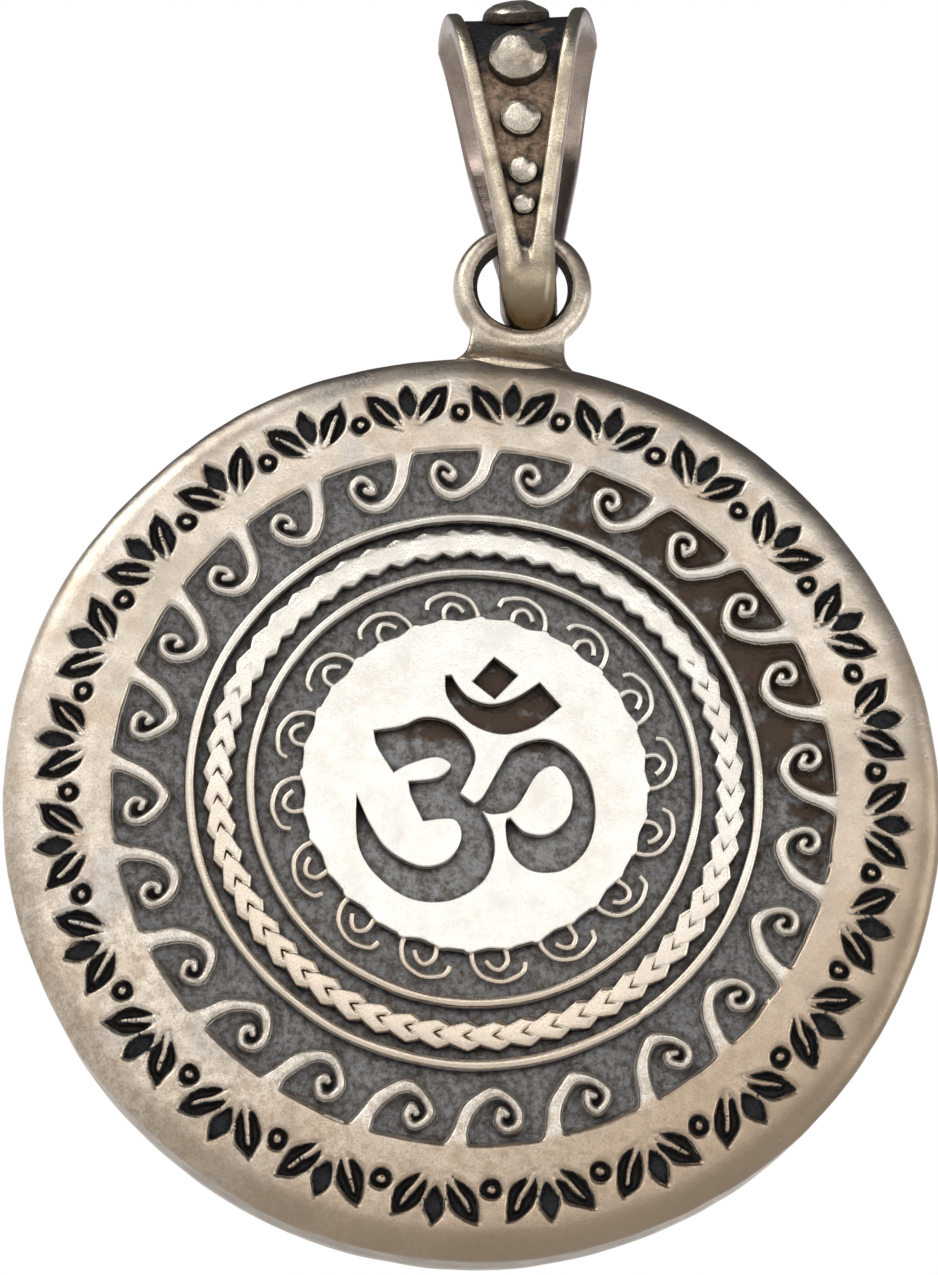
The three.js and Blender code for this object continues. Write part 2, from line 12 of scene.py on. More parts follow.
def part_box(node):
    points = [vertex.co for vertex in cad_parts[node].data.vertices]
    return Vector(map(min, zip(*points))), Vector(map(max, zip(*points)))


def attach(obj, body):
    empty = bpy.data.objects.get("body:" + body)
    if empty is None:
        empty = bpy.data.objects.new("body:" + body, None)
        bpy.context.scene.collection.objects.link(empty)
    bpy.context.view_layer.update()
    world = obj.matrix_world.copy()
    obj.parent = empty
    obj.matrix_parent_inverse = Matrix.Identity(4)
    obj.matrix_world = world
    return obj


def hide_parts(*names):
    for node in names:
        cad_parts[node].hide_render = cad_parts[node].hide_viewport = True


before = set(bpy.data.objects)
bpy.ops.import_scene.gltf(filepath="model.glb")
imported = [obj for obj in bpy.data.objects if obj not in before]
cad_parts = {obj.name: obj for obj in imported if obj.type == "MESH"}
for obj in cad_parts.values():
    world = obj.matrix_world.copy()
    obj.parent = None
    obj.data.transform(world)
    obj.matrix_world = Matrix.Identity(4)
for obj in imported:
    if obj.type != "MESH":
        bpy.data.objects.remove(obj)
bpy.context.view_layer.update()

bl_info = {
    "name": "Om pendant",
    "version": (1, 0, 0),
    "blender": (4, 5, 0),
    "location": "3D View > Sidebar > Pendant",
    "description": "Builds the pieces of a cast silver om pendant over its solids",
    "category": "Object",
}

# Places that come from the solids. Lengths below are millimetres, and MM turns them into metres.
MM = 0.001
BODY_LOW, BODY_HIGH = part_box("medallion_body")
DISC_RADIUS = (BODY_HIGH.x - BODY_LOW.x) / 2 / MM
FACE = Vector(((BODY_LOW.x + BODY_HIGH.x) / 2, BODY_LOW.y, BODY_LOW.z + DISC_RADIUS * MM))
THICKNESS = (BODY_HIGH.y - BODY_LOW.y) / MM

# Radii of the medallion's zones and depths below its polished face.
BOSS_RADIUS = 6.61
INNER_WIRE = (8.4, 8.75)
PLAIT = (9.24, 10.38)
OUTER_WIRE = (10.7, 11.08)
RECESS_RADIUS = 13.85
LEAF_BAND = (14.8, 16.8)
RECESS_DEPTH = 0.65
LEAF_DEPTH = 0.45
RIM_FALL = 0.6
BOSS_LEVEL = 0.05
SIGN_DEPTH = 0.5
SEAM_RADIUS = 14.35

# The hanging ring and its soldered neck.
RING_HEIGHT = 21.66
RING_RADIUS = 2.36
RING_WIRE = 1.04
RING_SETBACK = 1.3
NECK_WAIST = 3.9
NECK_THICKNESS = 1.3

# The bail's path, as the solids have it.
STRAP_THICKNESS = 0.88
BAIL_HEIGHT = 15.54
CROWN_RADIUS = 4.2
BEND_RADIUS = 1.76
CROWN_WIDTH = 6.95
BEND_WIDTH = 2.34
TAPER_LENGTH = 15.1
CHANNEL_LENGTH = 16.2
GRANULES = [(3.3, 2.9, 0.66), (7.25, 2.5, 0.86), (10.05, 1.75, 0.62), (12.4, 1.3, 0.48), (13.95, 0.98, 0.38)]
BAIL_TURN = (
    Matrix.Rotation(math.radians(-6.2), 3, "Y")
    @ Matrix.Rotation(math.radians(-11.9), 3, "X")
    @ Matrix.Rotation(math.radians(-4.7), 3, "Z")
)

# Points round the face for each wave and for each group of leaves.
POINTS_PER_UNIT = 48

# A distance that counts as well outside every outline.
FAR = -9.0

# The scrolls round the boss: the first one's angle, and how the boss's edge rises and falls beside each.
FIRST_SCROLL = 9.4
SCALLOPS = ((-0.4, 0.2, 0.07), (0.36, 0.32, -0.08), (1.1, 0.22, 0.1))


# Settings


class MedallionSettings(bpy.types.PropertyGroup):
    waves: IntProperty(name="Waves", description="Running waves round the recess", default=24, min=6, max=48)
    first_wave: FloatProperty(
        name="First wave", description="Angle of the first wave's root, clockwise from the top",
        default=math.radians(12.0), subtype="ANGLE",
    )
    wave_edge: FloatProperty(
        name="Wave edge", description="Width of the worn rounding on the waves",
        default=0.15 * MM, min=0.02 * MM, max=0.3 * MM, unit="LENGTH", precision=5,
    )
    leaf_groups: IntProperty(
        name="Leaf groups", description="Groups of leaves cut into the outer band", default=24, min=6, max=48,
    )
    unevenness: FloatProperty(
        name="Unevenness", description="How far the cast face wanders from flat",
        default=0.03 * MM, min=0.0, max=0.1 * MM, unit="LENGTH", precision=5,
    )
    chevrons: IntProperty(
        name="Chevrons", description="Chevrons in the plaited ring", default=56, min=12, max=120,
    )
    scrolls: IntProperty(
        name="Scrolls", description="Small scrolls round the boss", default=16, min=4, max=32,
    )
    scroll_wire: FloatProperty(
        name="Scroll line", description="Width of the scrolls' raised lines",
        default=0.24 * MM, min=0.1 * MM, max=0.5 * MM, unit="LENGTH", precision=5,
    )


class BailSettings(bpy.types.PropertyGroup):
    rail_width: FloatProperty(
        name="Rail width", description="Width of the rails beside the channel",
        default=0.5 * MM, min=0.2 * MM, max=1.0 * MM, unit="LENGTH", precision=5,
    )
    channel_depth: FloatProperty(
        name="Channel depth", description="Depth of the sunk channel",
        default=0.34 * MM, min=0.1 * MM, max=0.5 * MM, unit="LENGTH", precision=5,
    )
    hand_wear: FloatProperty(
        name="Hand wear", description="How far the strap wanders from true",
        default=0.04 * MM, min=0.0, max=0.1 * MM, unit="LENGTH", precision=5,
    )


class FinishSettings(bpy.types.PropertyGroup):
    silver: FloatVectorProperty(
        name="Silver", description="Colour of the polished silver", subtype="COLOR", default=(0.9, 0.8, 0.68),
    )
    shade: FloatVectorProperty(
        name="Worn silver", description="Colour of the worn, browner silver", subtype="COLOR",
        default=(0.5, 0.4, 0.3),
    )
    patina: FloatVectorProperty(
        name="Grey patina", description="Colour of the open recess floors", subtype="COLOR",
        default=(0.45, 0.455, 0.455),
    )
    rust: FloatVectorProperty(
        name="Brown patina", description="Colour of the brown tints in the patina", subtype="COLOR",
        default=(0.1, 0.064, 0.042),
    )
    ink: FloatVectorProperty(
        name="Ink patina", description="Colour of the blue-black patina in the outer band", subtype="COLOR",
        default=(0.05, 0.056, 0.066),
    )


# Drawing aids


def ripple(points, wavelength, seed):
    """Smooth noise from -1 to 1 at each point, from a few crossed sine waves."""
    source = np.random.default_rng(seed)
    total = np.zeros(points.shape[:-1])
    count = 7
    for _ in range(count):
        direction = source.normal(size=points.shape[-1])
        direction /= np.linalg.norm(direction)
        pitch = wavelength * source.uniform(0.7, 1.5)
        total += np.sin(points @ direction * (2 * math.pi / pitch) + source.uniform(0, 2 * math.pi))
    return total / count * 1.6


def smooth_step(value, low, high):
    share = np.clip((value - low) / (high - low), 0, 1)
    return share * share * (3 - 2 * share)


def beside_circle(angle, radius, along, above):
    """A point from its length along a circle and its height above it; angles run clockwise from the top."""
    turn = np.radians(angle) + np.asarray(along) / radius
    reach = radius + np.asarray(above)
    return np.stack([reach * np.sin(turn), reach * np.cos(turn)], -1)


def spline(points, steps):
    """A smooth line through points, with the same number of steps between each two."""
    points = np.asarray(points, float)
    places = np.linspace(0, len(points) - 1, steps + 1)
    first = np.minimum(places.astype(int), len(points) - 2)
    share = (places - first)[:, None]
    before = points[np.maximum(first - 1, 0)]
    start, end = points[first], points[first + 1]
    after = points[np.minimum(first + 2, len(points) - 1)]
    lean_start, lean_end = (end - before) / 2, (after - start) / 2
    cubic = 2 * start - 2 * end + lean_start + lean_end
    square = -3 * start + 3 * end - 2 * lean_start - lean_end
    return ((cubic * share + square) * share + lean_start) * share + start


def line_distance(points, line, half):
    """How far each point lies inside a line of changing half width; positive is inside."""
    start, step = line[:-1], np.diff(line, axis=0)
    offset = points[:, None, :] - start[None]
    share = np.clip((offset * step).sum(-1) / np.maximum((step**2).sum(-1), 1e-12), 0, 1)
    away = np.linalg.norm(offset - share[..., None] * step, axis=-1)
    width = half[:-1] + share * np.diff(half)
    return (width - away).max(1)


def outline_distance(points, outline):
    """How far each point lies inside a closed outline; positive is inside."""
    closed = np.vstack([outline, outline[:1]])
    away = -line_distance(points, closed, np.zeros(len(closed)))
    start, end = closed[:-1], closed[1:]
    x, y = points[:, :1], points[:, 1:]
    crosses = (start[:, 1] > y) != (end[:, 1] > y)
    slope = (end[:, 0] - start[:, 0]) / np.where(end[:, 1] == start[:, 1], 1e-12, end[:, 1] - start[:, 1])
    inside = (crosses & (x < start[:, 0] + slope * (y - start[:, 1]))).sum(1) % 2 == 1
    return np.where(inside, away, -away)


def turns(count):
    """Evenly spaced angles round a full turn, from the top."""
    return np.arange(count) * 2 * math.pi / count


def on_circle(turn):
    """Points, right and up, at these angles on a circle of radius one."""
    return np.stack([np.sin(turn), np.cos(turn)], -1)


def polar_points(radii, columns):
    """Points round the centre, ring after ring."""
    return (np.asarray(radii)[:, None, None] * on_circle(turns(columns))).reshape(-1, 2)


def ring_rows(rows, columns):
    """Plain rings of points, each from its radius and its level."""
    return [
        np.column_stack([polar_points([radius], columns), np.full(columns, level)])
        for radius, level in rows
    ]


def joined(bodies):
    """Puts bodies, each given as points and faces, into one list of points and one of faces."""
    points, faces = [], []
    first = 0
    for body, body_faces in bodies:
        points.append(body)
        faces += [[first + corner for corner in face] for face in body_faces]
        first += len(body)
    return np.vstack(points), faces


def shown(name, data):
    """A new object for this data, in the scene."""
    thing = bpy.data.objects.new(name, data)
    bpy.context.scene.collection.objects.link(thing)
    return thing


def new_piece(name, vertices, faces, materials, attributes=None):
    """A smooth-shaded mesh piece from vertices in millimetres in the row frame."""
    mesh = bpy.data.meshes.new(name)
    mesh.from_pydata((np.asarray(vertices) * MM).tolist(), [], [list(map(int, face)) for face in faces])
    mesh.shade_smooth()
    for label, values in (attributes or {}).items():
        layer = mesh.attributes.new(label, "FLOAT", "POINT")
        layer.data.foreach_set("value", np.asarray(values, np.float32).ravel())
    for material in materials:
        mesh.materials.append(material)
    return shown(name, mesh)


def evaluated_mesh(thing):
    """A plain mesh of what an object's curve or modifiers give; the object is removed."""
    bpy.context.view_layer.update()
    mesh = bpy.data.meshes.new_from_object(thing.evaluated_get(bpy.context.evaluated_depsgraph_get()))
    bpy.data.objects.remove(thing)
    return mesh


def mesh_parts(mesh):
    """A mesh's points, normals and faces; the mesh is removed."""
    rows = []
    for kind in ("co", "normal"):
        values = np.empty(len(mesh.vertices) * 3)
        mesh.vertices.foreach_get(kind, values)
        rows.append(values.reshape(-1, 3))
    faces = [tuple(polygon.vertices) for polygon in mesh.polygons]
    bpy.data.meshes.remove(mesh)
    return rows[0], rows[1], faces


def on_disc(points):
    """Turns right, up and outward on the medallion's face into the row frame, in millimetres."""
    points = np.asarray(points, float)
    right, up, outward = np.moveaxis(points, -1, 0)
    return np.stack([FACE.x / MM + right, FACE.y / MM - outward, FACE.z / MM + up], -1)


def ring_faces(rows, columns, closed=False):
    """Quads between rings of vertices, and from the last ring back to the first where closed."""
    row = np.arange(rows if closed else rows - 1)[:, None]
    column = np.arange(columns)[None]
    following = (column + 1) % columns
    here, above = row * columns, (row + 1) % rows * columns
    quads = [here + column, here + following, above + following, above + column]
    return np.stack(quads, -1).reshape(-1, 4)


def sharpen_seam(piece, columns, row, before=0):
    """Splits the shading along one ring of vertices, so that the seam with the next piece doesn't show."""
    ends = np.empty(len(piece.data.edges) * 2, np.int32)
    piece.data.edges.foreach_get("vertices", ends)
    ends = (ends.reshape(-1, 2) - before) // columns
    sharp = piece.data.attributes.new("sharp_edge", "BOOLEAN", "EDGE")
    sharp.data.foreach_set("value", (ends == row).all(1))


def finish_piece(piece, body, slot, *nodes):
    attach(piece, body)
    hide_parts(*nodes)


# Materials


def link(tree, source, target):
    tree.links.new(source, target)


def value_of(tree, kind, values, **settings):
    """A node with its settings and input values; sockets among the values are linked."""
    node = tree.nodes.new(kind)
    for key, setting in settings.items():
        setattr(node, key, setting)
    for key, value in values.items():
        socket = node.inputs[key]
        if isinstance(value, bpy.types.NodeSocket):
            link(tree, value, socket)
        else:
            socket.default_value = value
    return node


def math_node(tree, operation, *values):
    return value_of(tree, "ShaderNodeMath", dict(enumerate(values)), operation=operation).outputs[0]


def plus(tree, first, second):
    return math_node(tree, "ADD", first, second)


def minus(tree, first, second):
    return math_node(tree, "SUBTRACT", first, second)


def times(tree, first, second):
    return math_node(tree, "MULTIPLY", first, second)


def vector_node(tree, operation, *values):
    """A vector sum; the second value of a SCALE is its plain number."""
    inputs = dict(enumerate(values))
    if operation == "SCALE":
        inputs = {0: values[0], "Scale": values[1]}
    node = value_of(tree, "ShaderNodeVectorMath", inputs, operation=operation)
    return node.outputs["Value" if operation in ("DOT_PRODUCT", "LENGTH") else "Vector"]


def parted(tree, vector):
    """The three coordinates of a vector."""
    return value_of(tree, "ShaderNodeSeparateXYZ", {"Vector": vector}).outputs


def put_together(tree, x, y, z):
    return value_of(tree, "ShaderNodeCombineXYZ", {"X": x, "Y": y, "Z": z}).outputs[0]


def ramp_share(tree, value, low, high):
    values = {"Value": value, "From Min": low, "From Max": high}
    return value_of(tree, "ShaderNodeMapRange", values, interpolation_type="SMOOTHSTEP").outputs["Result"]


def mixed(tree, share, first, second):
    node = value_of(tree, "ShaderNodeMix", {"Factor": share}, data_type="RGBA")
    for socket, value in ((node.inputs[6], first), (node.inputs[7], second)):
        if isinstance(value, bpy.types.NodeSocket):
            link(tree, value, socket)
        else:
            socket.default_value = (*value, 1)
    return node.outputs[2]


def mixed_number(tree, share, first, second):
    values = {"Factor": share, "A": first, "B": second}
    return value_of(tree, "ShaderNodeMix", values, data_type="FLOAT").outputs[0]


def place_on(tree):
    """Where a point lies on its piece, in the row frame and in metres."""
    return tree.nodes.new("ShaderNodeTexCoord").outputs["Object"]


def noise(tree, coords, size, detail=3.0, roughness=0.55):
    """Noise whose features are about the size given, in millimetres."""
    values = {"Vector": coords, "Scale": 1 / (size * MM), "Detail": detail, "Roughness": roughness}
    return value_of(tree, "ShaderNodeTexNoise", values).outputs["Fac"]


def polished_colour(tree, coords, patch, bright, shade, shade_amount, tints, pits):
    """Colour of the polished tops: browner where worn, then the tints, then grit and small pits."""
    cloud = noise(tree, coords, 2.6, 3)
    spread = plus(tree, times(tree, cloud, 0.65), times(tree, patch, 0.35))
    worn = times(tree, ramp_share(tree, spread, 0.4, 0.68), shade_amount)
    metal = mixed(tree, worn, bright, shade)
    for share, colour in tints:
        metal = mixed(tree, share(tree), metal, colour)
    grit = ramp_share(tree, noise(tree, coords, 0.1, 4, 0.75), 0.44, 0.64)
    metal = mixed(tree, times(tree, grit, 0.6 * pits), metal, tuple(0.7 * value for value in shade))
    specks = ramp_share(tree, noise(tree, coords, 0.11, 2, 0.7), 0.66, 0.74)
    return mixed(tree, times(tree, specks, pits), metal, (0.16, 0.12, 0.09))


def patina_colour(tree, coords, patch, fine, floor, crevice_and_shade, rust_zone, rust):
    """Colour of the sunk floors: mottled, with fine dark specks, and brown in the zone of rust."""
    mottle = noise(tree, coords, 0.3, 6, 0.75)
    deep = (0.4 * floor[0], 0.32 * floor[1], 0.26 * floor[2])
    dark = mixed(tree, ramp_share(tree, mottle, 0.36, 0.62), deep, floor)
    dark = mixed(tree, times(tree, ramp_share(tree, fine, 0.54, 0.68), 0.45), dark, crevice_and_shade)
    if rust_zone is None:
        return dark
    reach = math_node(tree, "MULTIPLY_ADD", rust_zone(tree), 0.4, patch)
    return mixed(tree, ramp_share(tree, reach, 0.62, 0.84), dark, rust)


def cast_grain(tree, grain, fine, patch, top, dents):
    """The shader's normal: soft dents under a fine cast grain, which is coarser on the sunk floors."""
    values = {"Height": patch, "Strength": 1.0, "Distance": 0.03 * MM * dents}
    swell = value_of(tree, "ShaderNodeBump", values)
    coarse = times(tree, grain, mixed_number(tree, top, 1.5, 0.13))
    height = plus(tree, coarse, times(tree, fine, 0.12))
    values = {"Height": height, "Strength": 1.0, "Distance": 0.06 * MM, "Normal": swell.outputs["Normal"]}
    return value_of(tree, "ShaderNodeBump", values).outputs["Normal"]


def silver_material(name, height, floor=None, crevice_and_shade=(0.02, 0.015, 0.012), bright=None, shade=None,
                    roughness=0.27, shade_amount=0.5, rust_zone=None, rust=None, pits=0.3, dents=1.0,
                    tints=(), shadow=0.5, ragged=0.4):
    """Worn silver over dark patina, with painted shade in the hollows. The height function gives 1 on
    polished tops and 0 on recess floors.
    """
    finish = bpy.context.scene.pendant_finish
    material = bpy.data.materials.new(name)
    material.use_nodes = True
    tree = material.node_tree
    shader = tree.nodes["Principled BSDF"]
    coords = place_on(tree)
    grain = noise(tree, coords, 0.16, 4)
    patch = noise(tree, coords, 0.9, 4)
    fine = noise(tree, coords, 0.05, 2)
    # Painted shade from ambient occlusion: hollows take the dark crevice colour, partly as patina and partly
    # as shade, and tops beside them count less as polished.
    occlusion = value_of(tree, "ShaderNodeAmbientOcclusion", {"Distance": shadow * MM}, samples=8).outputs["AO"]
    unshaded_share = ramp_share(tree, occlusion, 0.3, 0.9)
    closed = times(tree, minus(tree, 1.0, unshaded_share), -0.45)
    rough_edge = math_node(tree, "MULTIPLY_ADD", minus(tree, grain, 0.5), ragged, height(tree))
    top = ramp_share(tree, plus(tree, rough_edge, closed), 0.35, 0.65)
    metal = polished_colour(tree, coords, patch, bright or tuple(finish.silver), shade or tuple(finish.shade),
                            shade_amount, tints, pits)
    dark = patina_colour(tree, coords, patch, fine, floor or tuple(finish.patina), crevice_and_shade, rust_zone,
                         rust or tuple(finish.rust))
    # Painted shade: the hollows darken to the crevice colour.
    dark = mixed(tree, unshaded_share, crevice_and_shade, dark)
    gloss = math_node(tree, "MULTIPLY_ADD", minus(tree, patch, 0.5), 0.25, roughness)
    link(tree, mixed(tree, top, dark, metal), shader.inputs["Base Color"])
    link(tree, mixed_number(tree, top, 0.45, 1.0), shader.inputs["Metallic"])
    link(tree, mixed_number(tree, top, 0.5, gloss), shader.inputs["Roughness"])
    link(tree, cast_grain(tree, grain, fine, patch, top, dents), shader.inputs["Normal"])
    return material


def painted(name):
    """A share that the mesh carries as an attribute."""
    return lambda tree: value_of(tree, "ShaderNodeAttribute", {}, attribute_name=name).outputs["Fac"]


def towards(direction, near, far):
    """A zone of the face that grows from near to far, in millimetres, along a direction right and up."""

    def zone(tree):
        offset = vector_node(tree, "SUBTRACT", place_on(tree), tuple(FACE))
        reach = vector_node(tree, "DOT_PRODUCT", offset, (direction[0], 0.0, direction[1]))
        return ramp_share(tree, reach, near * MM, far * MM)

    return zone


def grimy(direction, near, far, amount):
    """Fine grime that gathers towards one side of the medallion's face."""
    zone = towards(direction, near, far)

    def share(tree):
        grains = ramp_share(tree, noise(tree, place_on(tree), 0.4, 6, 0.8), 0.42, 0.62)
        return times(tree, times(tree, grains, zone(tree)), amount)

    return share


def away_from(centre, near, far, amount=1.0):
    """A share that grows to the amount between two distances, in millimetres, from a point of the face."""

    def share(tree):
        middle = FACE + Vector((centre[0], 0, centre[1])) * MM
        offset = vector_node(tree, "SUBTRACT", place_on(tree), tuple(middle))
        away = vector_node(tree, "LENGTH", vector_node(tree, "MULTIPLY", offset, (1.0, 0.0, 1.0)))
        return times(tree, ramp_share(tree, away, near * MM, far * MM), amount)

    return share


def on_front(share):
    """Keeps a share to the medallion's front, off its sides and back."""

    def front_share(tree):
        level = parted(tree, place_on(tree))["Y"]
        return times(tree, share(tree), ramp_share(tree, level, FACE.y + 1.6 * MM, FACE.y + 0.7 * MM))

    return front_share


def patches(size, low, high, amount):
    """Irregular patches of about the size given, in millimetres."""
    return lambda tree: times(tree, ramp_share(tree, noise(tree, place_on(tree), size, 3), low, high), amount)


def broken(name):
    """A painted share whose edge breaks up into small specks."""

    def share(tree):
        stray = minus(tree, noise(tree, place_on(tree), 0.3, 5, 0.75), 0.5)
        return ramp_share(tree, math_node(tree, "MULTIPLY_ADD", stray, 0.45, painted(name)(tree)), 0.0, 1.0)

    return share


def by_level(low, high):
    """Height from the level above the medallion's face, from low to high in millimetres."""

    def height(tree):
        level = parted(tree, place_on(tree))["Y"]
        values = {"Value": level, "From Min": FACE.y - low * MM, "From Max": FACE.y - high * MM}
        return value_of(tree, "ShaderNodeMapRange", values).outputs["Result"]

    return height


def between_heights(*ramps):
    """The largest of several ramps along Z, each given by its start and end in millimetres and its amount."""

    def share(tree):
        level = parted(tree, place_on(tree))["Z"]
        largest = None
        for start, end, amount in ramps:
            ramp = times(tree, ramp_share(tree, level, start * MM, end * MM), amount)
            largest = ramp if largest is None else math_node(tree, "MAXIMUM", largest, ramp)
        return largest

    return share


# Silvers of the pieces


def face_tints():
    """The tints that the recess and the outer band share: golden and bluish patches, tan, and grime."""
    golden = (on_front(patches(1.7, 0.5, 0.68, 0.5)), (0.7, 0.52, 0.37))
    bluish = (on_front(patches(4.2, 0.53, 0.64, 0.45)), (0.52, 0.52, 0.53))
    tan = (towards((0.6, -0.8), -2, 19), (0.56, 0.43, 0.31))
    grime = (on_front(grimy((-0.25, -0.97), -4, 14, 0.6)), (0.4, 0.3, 0.21))
    return [golden, bluish, tan], grime


def recess_silver():
    """Grey floors under polished waves, with a stain at the upper right and a painted highlight on the tops
    inside the band's inner edge.
    """
    tints, grime = face_tints()
    # Painted highlight: the tops inside the band's inner edge are painted near white.
    rubbed = (away_from((0, 0), 13.95, 13.6, 0.75), (0.97, 0.91, 0.82))
    floor = tuple(0.84 * value for value in bpy.context.scene.pendant_finish.patina)
    return silver_material("medallion_face", painted("polish"), floor, roughness=0.3, pits=0.5, dents=0.8,
                           rust_zone=towards((0.78, 0.63), 6, 13.5), shadow=0.35,
                           tints=[*tints, rubbed, grime])


def band_silver():
    """Polished silver over ink in the pockets, browned and painted with shade on its side and rim, with
    solder spilt under the ring.
    """
    tints, grime = face_tints()
    # The rim and its side are painted browner and darker: tarnish, and painted shade where the rim turns
    # away.
    browned_and_shaded = (broken("side"), (0.36, 0.275, 0.195))
    spilt = (on_front(away_from((0.3, 17.3), 2.9, 1.6, 0.6)), (0.42, 0.31, 0.2))
    floor = tuple(bpy.context.scene.pendant_finish.ink)
    return silver_material("outer_band", painted("polish"), floor, roughness=0.3, pits=0.5, dents=0.8,
                           ragged=1.1, tints=[*tints, browned_and_shaded, spilt, grime])


def applied_silver(name, low, high, bright, **look):
    """Silver of what is laid on the recess floor, warmer on the lower side of the face."""
    warm_below = (towards((-0.2, -0.98), -4, 9), (0.87, 0.74, 0.6))
    return silver_material(name, by_level(low, high), bright=bright, tints=[warm_below], **look)


def boss_silver():
    """Bright silver, with a brown stain in the upper part of the sign."""
    return silver_material("boss_silver", by_level(-0.34, -0.1), bright=(0.92, 0.89, 0.83),
                           shade=(0.84, 0.78, 0.69), roughness=0.25, shade_amount=0.6,
                           rust_zone=towards((0.0, 1.0), 0.5, 2.5), pits=0.15, dents=0.3)


def ring_silver(foot):
    """Brown, pitted silver, painted with shade inside the ring, and golden where it is soldered at its foot.
    """
    solder = (between_heights((foot + 1.6, foot + 0.4, 0.7)), (0.8, 0.65, 0.46))
    # Painted shade: the inside of the ring's wire is painted dark.
    return silver_material("ring_silver", away_from((0, RING_HEIGHT), 1.85, 2.3), (0.07, 0.055, 0.05),
                           bright=(0.86, 0.76, 0.63), shade=(0.36, 0.28, 0.21), roughness=0.3,
                           shade_amount=0.8, pits=0.8, dents=1.4, tints=[solder])


def strap_silver():
    """Warm silver with painted shade on the sides and inner face, darker at the bend; the channel is dark at
    the crown and low down, with patina and painted shade.
    """
    # Painted shade: the strap's sides and inner face are painted a darker lilac brown.
    side = (painted("side"), (0.3, 0.225, 0.215))
    # The bend is painted darker towards its lower end.
    stain = (painted("stain"), (0.13, 0.08, 0.032))
    # The channel is painted black at the crown and low down: patina there, and painted shade under the crown
    # and among the lower granules.
    blackened_and_shaded = between_heights((-5.0, -2.2, 1.0), (-5.5, -9.0, 0.62))
    return silver_material("strap_silver", painted("polish"), (0.55, 0.4, 0.28), crevice_and_shade=(0.012, 0.01, 0.012),
                           bright=(0.93, 0.81, 0.63), shade=(0.33, 0.25, 0.155), shade_amount=0.9,
                           rust_zone=blackened_and_shaded, rust=(0.024, 0.023, 0.026), pits=0.6, dents=1.2,
                           tints=[side, stain], shadow=1.0)


def granule_silver():
    """Warm silver, worn bright on top and much dented."""
    return silver_material("granule_silver", painted("polish"), (0.1, 0.075, 0.05), bright=(0.95, 0.86, 0.73),
                           shade=(0.3, 0.24, 0.17), shade_amount=0.85, pits=0.8, dents=2.0)


# Geometry Nodes


def new_tree(name, inputs):
    tree = bpy.data.node_groups.new(name, "GeometryNodeTree")
    tree.interface.new_socket("Geometry", in_out="INPUT", socket_type="NodeSocketGeometry")
    sockets = {}
    for label, (kind, default) in inputs.items():
        socket = tree.interface.new_socket(label, in_out="INPUT", socket_type=kind)
        if default is not None:
            socket.default_value = default
        sockets[label] = socket.identifier
    tree.interface.new_socket("Geometry", in_out="OUTPUT", socket_type="NodeSocketGeometry")
    return tree, tree.nodes.new("NodeGroupInput"), tree.nodes.new("NodeGroupOutput"), sockets


def geometry_node(tree, kind, values=None, **settings):
    return value_of(tree, "GeometryNode" + kind, values or {}, **settings).outputs[0]


def finish_tree(tree, start, end, mesh):
    """Shades the result smooth, gives it its material and sends it out."""
    smooth = geometry_node(tree, "SetShadeSmooth", {"Geometry": mesh})
    values = {"Geometry": smooth, "Material": start.outputs["Material"]}
    link(tree, geometry_node(tree, "SetMaterial", values), end.inputs[0])


def worn_plait(tree, mesh, wear):
    """Levels the plait's grooves, all of them near the top of the medallion and partly elsewhere."""
    x, y, z = parted(tree, geometry_node(tree, "InputPosition"))
    angle = math_node(tree, "ARCTAN2", x, z)
    sector = ramp_share(tree, math_node(tree, "COSINE", plus(tree, angle, 0.13)), 0.2, 0.55)
    crisp = ramp_share(tree, math_node(tree, "COSINE", minus(tree, angle, -2.2)), 0.3, 0.8)
    flat = math_node(tree, "MAXIMUM", sector, times(tree, minus(tree, 1.0, crisp), 0.45))
    on_top = ramp_share(tree, y, 0.5 * MM, 0.35 * MM)
    share = times(tree, times(tree, flat, on_top), wear)
    reach = vector_node(tree, "LENGTH", put_together(tree, x, 0.0, z))
    beside = math_node(tree, "ABSOLUTE", minus(tree, reach, sum(PLAIT) / 2 * MM))
    edge_fall = times(tree, ramp_share(tree, beside, 0.28 * MM, 0.58 * MM), 0.1 * MM)
    sunk = math_node(tree, "MAXIMUM", minus(tree, y, plus(tree, edge_fall, 0.012 * MM)), 0.0)
    level = minus(tree, y, times(tree, sunk, share))
    return geometry_node(tree, "SetPosition", {"Geometry": mesh, "Position": put_together(tree, x, level, z)})


